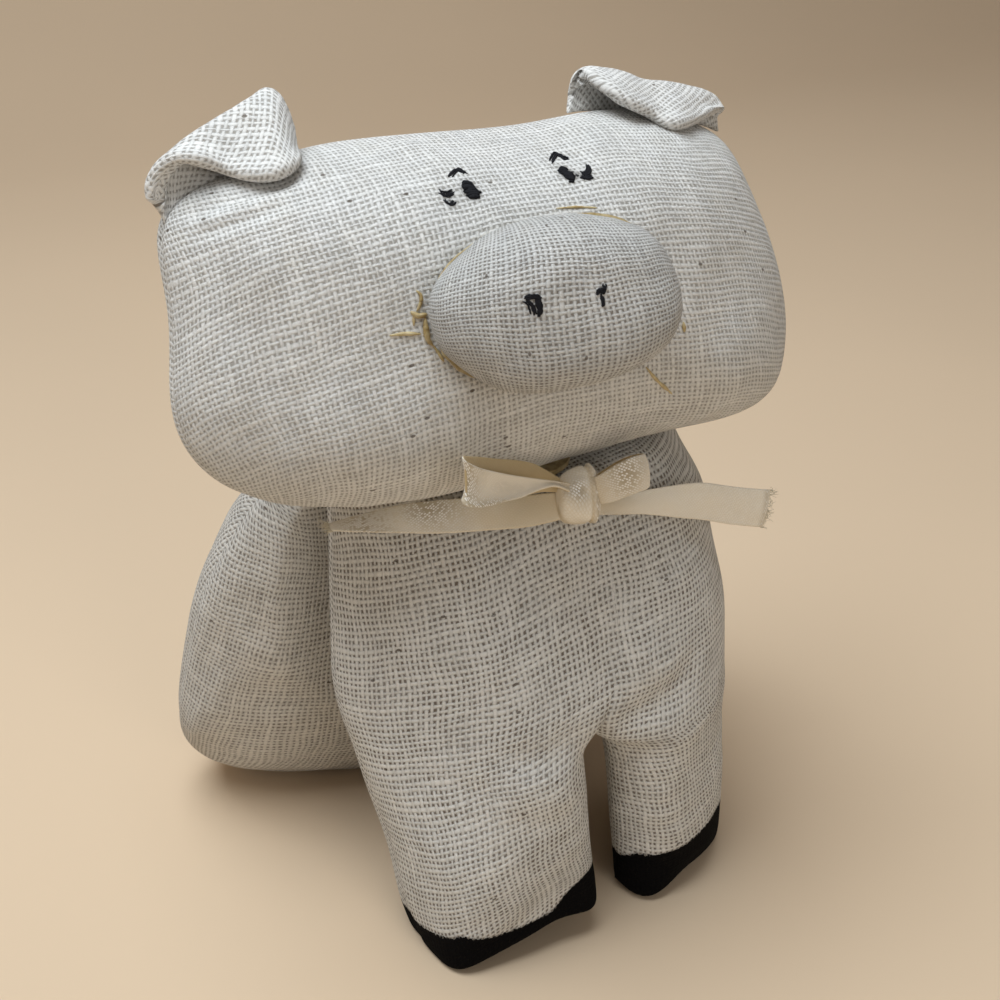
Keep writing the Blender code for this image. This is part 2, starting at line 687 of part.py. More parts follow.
def strip(route, leans, widths, at_knot):
    """A ribbon along a route: at each point a width that leans from upright, and one thickness.

    at_knot lists the points that lie at the knot, where the ribbon's end faces it squarely.
    """
    along = unit(np.gradient(route, axis=0))
    for point in at_knot:
        along[point] = (np.sign(along[point][0]), 0, 0)
    upright = np.stack([np.zeros_like(leans), np.sin(leans), np.cos(leans)], axis=-1)
    upright = unit(upright - (upright * along).sum(axis=-1, keepdims=True) * along)
    through = np.cross(along, upright) * RIBBON_THICK / 2
    half = upright * np.array(widths)[:, None] / 2
    corners = (half + through, half - through, -half - through, through - half)
    rings = np.stack([route + corner for corner in corners], axis=1)
    return loft(list(rings))


def chest_front(across, height):
    """Depth of the chest's front at a place in the pig's frame, between crotch and neck."""
    side_share = (across - CHEST_SIDE_SHIFT) / (CHEST_WIDTH / 2)
    up = (height - CROTCH_HEIGHT - GAP) / chest_height()
    ring = (abs(side_share) ** CHEST_SQUARE_POWER + up ** CHEST_SQUARE_POWER) ** (1 / CHEST_SQUARE_POWER)
    depth = chest_face(side_share, up, ring, CHEST_FRONT_DEPTH)
    point = np.array([side_share * CHEST_WIDTH / 2, -depth, height])
    return front_place(point)[1]


def head_front(across, height):
    """Depth of the head's lower front at a place in the pig's frame."""
    up = np.linspace(-1, 0, HEAD_SAMPLES) * HEAD_HEIGHT / 2
    middle = np.full_like(up, across - HEAD_SIDE_SHIFT)
    points = head_place(np.stack([middle, face_depth(middle, up), up], axis=-1))
    return np.interp(height, points[:, 2], points[:, 1])


def bow_middle():
    """The knot's middle: in front of the neck, clear of the chest and of the head above it."""
    rise = NECK_HEIGHT + BOW_RISE
    chest = chest_front(BOW_SIDE_SHIFT, rise - KNOT_HEIGHT / 2)
    head = head_front(BOW_SIDE_SHIFT, rise + KNOT_HEIGHT / 2)
    return np.array([BOW_SIDE_SHIFT, min(chest, head) - GAP - KNOT_DEPTH / 2, rise])


def bow_point(side, out, depth, rise):
    """A place on the bow, from its knot's middle: out to one side, back and up."""
    out, depth, rise = np.broadcast_arrays(out, depth, rise)
    return np.stack([SIDES[side] * out, depth, rise], axis=-1) + bow_middle()


def make_loop(side, parent):
    shares = LOOP_SHARES[side]
    radius = shares["radius"] * RIBBON_WIDTH
    start = KNOT_WIDTH / 2 + GAP
    share = np.linspace(0, 1, LOOP_STEPS)
    least = (RIBBON_THICK + GAP) / 2
    open_by = least + (radius - least) * share ** LOOP_OPENING_POWER
    out = start + (shares["out"] * RIBBON_WIDTH - radius - start) * share
    swing = -shares["forward"] * RIBBON_WIDTH * share
    rise = LOOP_START_RISE + shares["rise"] * RIBBON_WIDTH * share
    front = bow_point(side, out, swing - open_by, rise)
    back = bow_point(side, out, swing + open_by, rise)[::-1]
    angles = np.linspace(0, math.pi, LOOP_STEPS)[1:-1]
    turn_out = out[-1] + radius * np.sin(angles)
    turn = bow_point(side, turn_out, swing[-1] - radius * np.cos(angles), rise[-1])
    width = KNOT_PINCH + (RIBBON_WIDTH - KNOT_PINCH) * share ** LOOP_OPENING_POWER
    widths = np.concatenate([width, np.full(len(angles), RIBBON_WIDTH), width[::-1]])
    route = np.concatenate([front, turn, back])
    leans = np.full(len(route), LOOP_LEANS[side])
    ribbon = strip(route, leans, widths, (0, -1))
    mesh_object(f"bow_loop_{side}", *ribbon, "satin", (0, 0, 0), parent)


def make_tail(side, parent):
    shares = {name: value * TAIL_LENGTH for name, value in TAIL_SHARES[side].items()}
    start = KNOT_WIDTH / 2 + GAP
    share = np.linspace(0, 1, TAIL_STEPS)
    route = bow_point(
        side,
        start + (TAIL_LENGTH - start) * share,
        shares["start_back"] + shares["back"] * share ** TAIL_BEND_POWER,
        -shares["start_drop"] - shares["drop"] * share,
    )
    first_lean, last_lean = TAIL_LEANS[side]
    leans = first_lean + (last_lean - first_lean) * share
    width = KNOT_PINCH + (RIBBON_WIDTH - KNOT_PINCH) * np.minimum(share / TAIL_SPREAD_SHARE, 1)
    ribbon = strip(route, leans, width, (0,))
    hinge = add_empty(f"bow_tail_{side}_hinge", route[0], parent)
    mesh_object(f"bow_tail_{side}", *ribbon, "satin", route[0], hinge)


def make_bow(parent):
    steps = np.arange(KNOT_SIDES) * 2 * math.pi / KNOT_SIDES
    rings = []
    for share in np.linspace(-1, 1, KNOT_RINGS):
        full = 1 - KNOT_ROUND_SHARE * abs(share) ** 3
        depth = np.sign(np.cos(steps)) * np.abs(np.cos(steps)) ** KNOT_BOX_POWER * KNOT_DEPTH / 2 * full
        rise = np.sign(np.sin(steps)) * np.abs(np.sin(steps)) ** KNOT_BOX_POWER * KNOT_HEIGHT / 2 * full
        rings.append(bow_point("left", share * KNOT_WIDTH / 2, depth, rise))
    mesh_object("bow_knot", *loft(rings), "satin", (0, 0, 0), parent)
    for side in SIDES:
        make_loop(side, parent)
        make_tail(side, parent)


def make_neck_pad(parent):
    steps = np.arange(NECK_PAD_SIDES) * 2 * math.pi / NECK_PAD_SIDES
    ring = np.stack([np.cos(steps), np.sin(steps), np.zeros_like(steps)], axis=-1) * NECK_PAD_RADIUS
    rings = [
        ring + np.array([NECK_SIDE_SHIFT, NECK_DEPTH, NECK_HEIGHT + lift])
        for lift in (GAP, GAP + NECK_PAD_THICK)
    ]
    mesh_object("neck_glue", *loft(rings), "glue", (0, 0, 0), parent)


def make_material(name, colour, roughness, metallic):
    material = bpy.data.materials.new(name)
    material.use_nodes = True
    shader = material.node_tree.nodes["Principled BSDF"]
    shader.inputs["Base Color"].default_value = (*colour, 1)
    shader.inputs["Roughness"].default_value = roughness
    shader.inputs["Metallic"].default_value = metallic
    material.diffuse_color = (*colour, 1)
    return material


def add_empty(name, place, parent):
    empty = bpy.data.objects.new(name, None)
    bpy.context.collection.objects.link(empty)
    empty.location = np.array(place) - pivot_of(parent)
    empty.parent = parent
    return empty


def centre(root):
    """Put the middle of the bounding box over the origin."""
    bpy.context.view_layer.update()
    corners = [
        made.matrix_world @ vertex.co
        for made in bpy.data.objects
        if made.type == "MESH"
        for vertex in made.data.vertices
    ]
    corners = np.array(corners)
    middle = (corners.min(axis=0) + corners.max(axis=0)) / 2
    root.location = (-middle[0], -middle[1], -corners[:, 2].min())


def main():
    clear_scene()
    root = add_empty(ROOT_NAME, (0, 0, 0), None)
    neck = (NECK_SIDE_SHIFT, NECK_DEPTH, NECK_HEIGHT)
    head = add_empty("head_turn", neck, root)
    make_head(neck, head)
    make_nose(neck, head)
    make_face(neck, head)
    for side in SIDES:
        make_ear(side, head)
    make_neck_pad(root)
    make_chest(root)
    for side in SIDES:
        make_leg(side, root)
    make_rump(root)
    make_bow(root)
    centre(root)


if __name__ == "__main__":
    main()
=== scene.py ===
"""Dresses the plush pig: cloth, stitches, bow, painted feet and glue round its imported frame."""

import logging
import math
from dataclasses import dataclass, field
from enum import Enum
from typing import Callable

import bmesh
import bpy
import numpy as np
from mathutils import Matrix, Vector
from mathutils.bvhtree import BVHTree

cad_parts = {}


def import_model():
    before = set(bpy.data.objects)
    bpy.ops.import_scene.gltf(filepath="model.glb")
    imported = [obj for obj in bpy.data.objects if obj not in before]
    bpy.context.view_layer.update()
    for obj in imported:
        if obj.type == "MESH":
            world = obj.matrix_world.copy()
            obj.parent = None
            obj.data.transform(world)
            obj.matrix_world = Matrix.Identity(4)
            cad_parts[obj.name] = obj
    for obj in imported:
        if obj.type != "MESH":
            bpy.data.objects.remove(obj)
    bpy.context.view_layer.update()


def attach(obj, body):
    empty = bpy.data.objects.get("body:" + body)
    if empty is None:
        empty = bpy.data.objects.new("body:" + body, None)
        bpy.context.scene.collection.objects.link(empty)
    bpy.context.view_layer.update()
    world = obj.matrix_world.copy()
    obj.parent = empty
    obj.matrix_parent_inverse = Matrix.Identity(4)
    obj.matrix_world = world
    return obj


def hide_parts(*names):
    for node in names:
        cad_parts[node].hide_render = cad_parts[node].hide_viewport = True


Array = np.ndarray
Piece = bpy.types.Object
Surface = Callable[[Array], Array]

LOG = logging.getLogger("plush_pig")
MM = 0.001

# From the pig's own frame, its neck near the origin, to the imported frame
SHIFT = np.array([0.0033, -0.00791, 0.0])

# The lengths that the pieces share
NECK_HEIGHT = 0.0770
CROTCH_HEIGHT = 0.0368
CLOTH_GAP = 0.0003
RIBBON_WIDTH = 0.0064

# Keeps a division from failing
TINY = 1e-9

CLOTH_UV = "cloth"
# The second map: on cloth, how far from the paint; on satin, how much painted highlight and how much painted
# golden shade
PAINT_UV = "paint"


class Side(Enum):
    """The pig's own right and left."""

    RIGHT = -1
    LEFT = 1


class Slot(Enum):
    """The material slots that the record names."""

    CLOTH = "cloth"
    THREAD = "thread"
    SATIN = "satin"
    GLUE = "glue"


class Face(Enum):
    """Which way a cloth panel of a cushion faces."""

    FRONT = -1
    BACK = 1


# ---- number helpers


def unit(vectors: Array) -> Array:
    """Vectors of length one, in the last axis."""
    return vectors / np.maximum(np.linalg.norm(vectors, axis=-1, keepdims=True), TINY * MM)


def spread(count: int) -> Array:
    """Values from -1 to 1, closer together towards both ends."""
    return np.sin(np.linspace(-1, 1, count) * math.pi / 2)


def smooth_step(low: float, high: float, value: Array) -> Array:
    """0 up to low, 1 from high, and a soft step between them."""
    share = np.clip((value - low) / (high - low), 0, 1)
    return share * share * (3 - 2 * share)


def bell(value: Array, width: float) -> Array:
    """1 where a value is 0, falling smoothly to 0 on both sides."""
    return np.exp(-((value / width) ** 2))


def ring_at(across: Array, up: Array, width: float, height: float, power: float) -> Array:
    """How far out places of a rounded square lie: 0 in its middle, 1 on its seam and beyond."""
    shares = (np.abs(across) / (width / 2)) ** power + (np.abs(up) / (height / 2)) ** power
    return np.minimum(shares ** (1 / power), 1)


def domed(ring: Array, powers: tuple) -> Array:
    """How full a cushion is, from 1 in its middle to 0 on its seam."""
    return (1 - ring ** powers[0]) ** powers[1]


def round_grid(counts: tuple, power: float) -> tuple[Array, Array, Array]:
    """A square grid drawn in to rounded squares.

    Args:
        counts: How many points it has across and up.
        power: How square its rings are.

    Returns:
        Each point's place across and up, from -1 to 1, and its ring from 0 to 1.
    """
    across, up = np.meshgrid(spread(counts[0]), spread(counts[1]))
    ring = np.maximum(np.abs(across), np.abs(up))
    reach = (np.abs(across) ** power + np.abs(up) ** power) ** (1 / power)
    keep = np.divide(ring, reach, out=np.ones_like(ring), where=reach > 0)
    return across * keep, up * keep, ring


def turned(points: Array, angle: float, axis: int) -> Array:
    """Turns points about one of the three axes through the origin.

    Args:
        points: The points.
        angle: How far, in radians.
        axis: 0, 1 or 2 for x, y or z.

    Returns:
        The turned points.
    """
    first, second = ((1, 2), (2, 0), (0, 1))[axis]
    result = points.copy()
    cosine, sine = math.cos(angle), math.sin(angle)
    result[..., first] = points[..., first] * cosine - points[..., second] * sine
    result[..., second] = points[..., first] * sine + points[..., second] * cosine
    return result


def pressed(points: Array, on_plane: tuple, outward: tuple, soft: float = 0.0) -> Array:
    """Puts points that pass a plane back on it.

    Args:
        points: The points.
        on_plane: A place on the plane.
        outward: The way that they may not go.
        soft: How softly they round off where they meet it, in metres.

    Returns:
        The points.
    """
    past = (points - np.array(on_plane)) @ np.array(outward, float)
    past = (past + np.sqrt(past**2 + soft**2)) / 2
    return points - past[..., None] * np.array(outward, float)


def curve(points: tuple, count: int, places: Array | None = None) -> Array:
    """A smooth line through points.

    Args:
        points: The points, in millimetres.
        count: How many points the line gets.
        places: Where along the line they lie, from 0 to 1, or nothing for even steps.

    Returns:
        The line, in metres.
    """
    knots = np.array(points, float) * MM
    steps = np.linalg.norm(np.diff(knots, axis=0), axis=-1) ** 0.5
    at = np.concatenate([[0], np.cumsum(steps)]) / steps.sum()
    slope = np.gradient(knots, at, axis=0)
    want = np.linspace(0, 1, count) if places is None else places
    low = np.clip(np.searchsorted(at, want, side="right") - 1, 0, len(at) - 2)
    wide = (at[low + 1] - at[low])[:, None]
    share = (want - at[low])[:, None] / wide
    return blend_curve(knots[low], slope[low] * wide, knots[low + 1], slope[low + 1] * wide, share)


def blend_curve(start: Array, leave: Array, end: Array, arrive: Array, share: Array | float) -> Array:
    """A bend from one place to another.

    Args:
        start: Where it starts.
        leave: Which way, and how strongly, it leaves.
        end: Where it ends.
        arrive: Which way, and how strongly, it arrives.
        share: Where along it, from 0 to 1.

    Returns:
        The places.
    """
    squared, cubed = share**2, share**3
    first = start * (2 * cubed - 3 * squared + 1) + leave * (cubed - 2 * squared + share)
    return first + end * (3 * squared - 2 * cubed) + arrive * (cubed - squared)


# The margin of cloth without a stain, in millimetres
FAR_FROM_STAINS = 20.0


def stain_margin(places: Array, stains: tuple) -> Array:
    """How far each place lies outside the nearest stain, in millimetres.

    Args:
        places: Places on the flat face, in metres.
        stains: Each an end, another end and a radius, in millimetres.

    Returns:
        The distances: below 0 inside a stain.
    """
    margin = np.full(places.shape[:-1], FAR_FROM_STAINS)
    for start, end, radius in stains:
        along = np.array(end) - np.array(start)
        offset = places / MM - np.array(start)
        share = np.clip(offset @ along / max(along @ along, TINY), 0, 1)
        apart = np.linalg.norm(offset - share[..., None] * along, axis=-1)
        margin = np.minimum(margin, apart - radius)
    return margin


def grid_normals(grid: Array, outward: tuple) -> Array:
    """The way out at each point of a grid.

    Args:
        grid: Points, in rows and columns.
        outward: Roughly the way out in the grid's middle.

    Returns:
        The ways, of length one.
    """
    normals = unit(np.cross(np.gradient(grid, axis=0), np.gradient(grid, axis=1)))
    middle = normals[grid.shape[0] // 2, grid.shape[1] // 2]
    return normals * np.sign(middle @ np.array(outward, float))


def with_normals(at: Surface, places: Array) -> tuple[Array, Array]:
    """Points of a surface that faces the front.

    Args:
        at: Gives a point for each place.
        places: Places as (across, up), in metres.

    Returns:
        The points, and the way out at each.
    """
    step = 0.1 * MM
    here = at(places)
    across = at(places + np.array([step, 0])) - here
    upwards = at(places + np.array([0, step])) - here
    return here, unit(np.cross(across, upwards))


# How many waves a ripple is summed from, and how much weaker each halving is
RIPPLE_WAVES = 5
RIPPLE_FALL = 1.7


def ripple(points: Array, size: float, seed: int, octaves: int = 3) -> Array:
    """Smooth random values of about -1 to 1 over points, from sums of turned waves.

    Args:
        points: Places, in the last axis, in metres.
        size: The length of the largest ripple.
        seed: Picks the pattern.
        octaves: How many times the ripples halve.

    Returns:
        A value for each point.
    """
    chance = np.random.default_rng(seed)
    total = np.zeros(points.shape[:-1])
    for octave in range(octaves):
        wave = 2 * math.pi / size * 2**octave
        for _ in range(RIPPLE_WAVES):
            way = unit(chance.normal(size=points.shape[-1]))
            phase = chance.uniform(0, 2 * math.pi)
            stretch = chance.uniform(0.7, 1.3)
            total += np.sin(points @ way * wave * stretch + phase) / RIPPLE_WAVES / RIPPLE_FALL**octave
    return total


def swell(points: Array, ripples: tuple, turn: int = 0) -> Array:
    """How far ripples, each a size, a height and a seed, lift cloth; turn changes the seeds."""
    return sum(ripple(points, size, seed + turn) * height for size, height, seed in ripples)


@dataclass(frozen=True)
class Crease:
    """A fold in cloth that runs from one place to another on a panel's own flat frame."""

    start: tuple[float, float]
    end: tuple[float, float]
    height: float
    width: float
    fade: float = 0.35

    def rise(self, across: Array, up: Array) -> Array:
        """How far the fold lifts the cloth.

        Args:
            across: Places across the panel, in metres.
            up: Places up it.

        Returns:
            The lift in metres: below 0 in a valley.
        """
        start, end = np.array(self.start) * MM, np.array(self.end) * MM
        along = end - start
        length = np.linalg.norm(along)
        along = along / length
        offset = np.stack([across - start[0], up - start[1]], axis=-1)
        share = offset @ along / length
        aside = offset @ np.array([-along[1], along[0]])
        ends = smooth_step(-self.fade, self.fade, share) * smooth_step(-self.fade, self.fade, 1 - share)
        return self.height * MM * ends * bell(aside, self.width * MM)


@dataclass(frozen=True)
class View:
    """The photograph's camera, and the plane square to it that outlines are trimmed in."""

    target: tuple[float, float, float] = (-0.0047, -0.0199, 0.0750)
    azimuth: float = math.radians(-25)
    elevation: float = math.radians(30)
    distance: float = 0.213
    lens: float = 52.2
    sensor: float = 36.0
    nearest: float = 0.01
    farthest: float = 10.0

    def axes(self) -> tuple[Array, Array, Array]:
        """The ways right, up and back from the camera.

        Returns:
            The three ways, of length one.
        """
        flat = math.cos(self.elevation)
        sine, cosine = math.sin(self.azimuth), math.cos(self.azimuth)
        back = np.array([sine * flat, -cosine * flat, math.sin(self.elevation)])
        right = np.array([cosine, sine, 0.0])
        return right, np.cross(back, right), back

    def make_camera(self) -> None:
        """Puts the camera in the scene."""
        _, _, back = self.axes()
        data = bpy.data.cameras.new("photo_camera")
        data.lens = self.lens
        data.sensor_width = self.sensor
        data.clip_start, data.clip_end = self.nearest, self.farthest
        camera = bpy.data.objects.new("photo_camera", data)
        bpy.context.scene.collection.objects.link(camera)
        camera.location = Vector(np.array(self.target) + back * self.distance)
        camera.rotation_mode = "QUATERNION"
        camera.rotation_quaternion = Vector(-back).to_track_quat("-Z", "Y")
        bpy.context.scene.camera = camera


@dataclass(frozen=True)
class Trim:
    """Small moves that fit a stuffed form to the outline it has in life.

    Each row is a place in the view's plane and the move there, both as (right, up) in millimetres.
    Between the rows the moves run smoothly into each other, and they fade out away from them.
    """

    rows: tuple[tuple[float, float, float, float], ...]
    reach: float = 16.0
    ease: float = 0.06
    view: View = View()

    def apply(self, points: Array) -> Array:
        """Moves points.

        Args:
            points: The points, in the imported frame.

        Returns:
            The moved points.
        """
        right, up, _ = self.view.axes()
        rows = np.array(self.rows) * MM
        here = (points - np.array(self.view.target)) @ np.stack([right, up], axis=-1)
        weights = np.linalg.solve(self.near(rows[:, :2], rows[:, :2]), rows[:, 2:])
        moves = self.near(here.reshape(-1, 2), rows[:, :2]) @ weights
        moves = moves.reshape(here.shape)
        return points + moves[..., :1] * right + moves[..., 1:] * up

    def near(self, places: Array, centres: Array) -> Array:
        """How strongly each centre is felt at each place, from 1 to 0."""
        apart = np.linalg.norm(places[:, None, :] - centres[None, :, :], axis=-1)
        return bell(apart, self.reach * MM) + self.ease * (apart < TINY)


# ---- shader helpers


class Wire:
    """One output of a shader node, with arithmetic that adds Math nodes."""

    def __init__(self, shader: "Shader", socket: bpy.types.NodeSocket) -> None:
        """Keeps the socket and the shader that it is part of."""
        self.shader = shader
        self.socket = socket

    def __add__(self, other: "Wire | float") -> "Wire":
        """The sum."""
        return self.shader.maths("ADD", self, other)

    __radd__ = __add__

    def __sub__(self, other: "Wire | float") -> "Wire":
        """The difference."""
        return self.shader.maths("SUBTRACT", self, other)

    def __rsub__(self, other: float) -> "Wire":
        """The difference, with a number first."""
        return self.shader.maths("SUBTRACT", other, self)

    def __mul__(self, other: "Wire | float") -> "Wire":
        """The product."""
        return self.shader.maths("MULTIPLY", self, other)

    __rmul__ = __mul__

    def __truediv__(self, other: "Wire | float") -> "Wire":
        """The quotient."""
        return self.shader.maths("DIVIDE", self, other)

    def size(self) -> "Wire":
        """The value without its sign."""
        return self.shader.maths("ABSOLUTE", self)

    def floor(self) -> "Wire":
        """The whole number below."""
        return self.shader.maths("FLOOR", self)

    def fraction(self) -> "Wire":
        """What is left above the whole number below."""
        return self.shader.maths("FRACT", self)

    def at_least(self, other: "Wire | float") -> "Wire":
        """The larger of two values."""
        return self.shader.maths("MAXIMUM", self, other)

    def at_most(self, other: "Wire | float") -> "Wire":
        """The smaller of two values."""
        return self.shader.maths("MINIMUM", self, other)

    def step(self, low: float, high: float) -> "Wire":
        """A soft step, from 0 at low and beyond it to 1 at high and beyond it."""
        inputs = {"Value": self, "From Min": low, "From Max": high}
        return self.shader.wire("Result", "ShaderNodeMapRange", {"interpolation_type": "SMOOTHSTEP"}, inputs)


class Shader:
    """A material's nodes: every node is added here."""

    def __init__(self, name: str) -> None:
        """Starts an empty material.

        Args:
            name: Its name.
        """
        self.material = bpy.data.materials.new(name)
        self.material.use_nodes = True
        self.tree = self.material.node_tree
        self.tree.nodes.clear()

    def node(self, kind: str, settings: dict | None = None, inputs: dict | None = None) -> bpy.types.Node:
        """Adds a node.

        Args:
            kind: The node's type.
            settings: Its own properties, set first.
            inputs: Values or wires for its sockets, by name or number.

        Returns:
            The node.
        """
        node = self.tree.nodes.new(kind)
        for key, value in (settings or {}).items():
            setattr(node, key, value)
        for key, value in (inputs or {}).items():
            if isinstance(value, Wire):
                self.tree.links.new(value.socket, node.inputs[key])
            else:
                node.inputs[key].default_value = value
        return node

    def wire(self, output: int | str, kind: str, *details: dict) -> Wire:
        """Adds a node and gives one of its outputs, by name or number."""
        return Wire(self, self.node(kind, *details).outputs[output])

    def maths(self, operation: str, *values: "Wire | float") -> Wire:
        """A Math node on one or two values."""
        return self.wire(0, "ShaderNodeMath", {"operation": operation}, dict(enumerate(values)))

    def vector_maths(self, operation: str, *values: "Wire | tuple") -> Wire:
        """A Vector Math node on one or two vectors."""
        return self.wire(0, "ShaderNodeVectorMath", {"operation": operation}, dict(enumerate(values)))

    def uv(self, name: str) -> tuple[Wire, Wire]:
        """The two values of a named UV map."""
        parts = self.node("ShaderNodeSeparateXYZ", {}, {0: self.wire(0, "ShaderNodeUVMap", {"uv_map": name})})
        return Wire(self, parts.outputs[0]), Wire(self, parts.outputs[1])

    def place(self) -> Wire:
        """The place on the object itself."""
        return self.wire("Object", "ShaderNodeTexCoord")

    def vector(self, first: "Wire | float", second: "Wire | float", third: "Wire | float" = 0.0) -> Wire:
        """Three values as a vector."""
        return self.wire(0, "ShaderNodeCombineXYZ", {}, {0: first, 1: second, 2: third})

    def noise(self, vector: Wire, scale: float, detail: float = 2.0, rough: float = 0.5) -> Wire:
        """Smooth noise from 0 to 1, with scale lumps in a length of 1 and detail finer layers."""
        inputs = {"Vector": vector, "Scale": scale, "Detail": detail, "Roughness": rough}
        return self.wire("Fac", "ShaderNodeTexNoise", {"noise_dimensions": "3D"}, inputs)

    def chance(self, vector: Wire) -> Wire:
        """A random number from 0 to 1 for each vector."""
        return self.wire("Value", "ShaderNodeTexWhiteNoise", {"noise_dimensions": "3D"}, {"Vector": vector})

    def blend(self, factor: "Wire | float", first: "Wire | tuple", second: "Wire | tuple") -> Wire:
        """One colour, or another, or a mix of them."""
        return self.wire(2, "ShaderNodeMix", {"data_type": "RGBA"}, {"Factor": factor, 6: first, 7: second})

    def times(self, colour: "Wire | tuple", value: Wire) -> Wire:
        """A colour made darker or lighter by a value."""
        first = colour if isinstance(colour, Wire) else colour[:3]
        return self.vector_maths("MULTIPLY", first, self.vector(value, value, value))

    def bump(self, height: Wire, distance: float) -> Wire:
        """The normal that a height gives; distance is what a height of 1 stands for."""
        return self.wire(0, "ShaderNodeBump", {}, {"Height": height, "Distance": distance})

    def finish(self, inputs: dict) -> bpy.types.Material:
        """Ends the material with a Principled shader.

        Args:
            inputs: Values or wires for its sockets, by name.

        Returns:
            The material.
        """
        surface = self.wire(0, "ShaderNodeBsdfPrincipled", {}, inputs)
        self.node("ShaderNodeOutputMaterial", {}, {"Surface": surface})
        return self.material


# ---- finishes


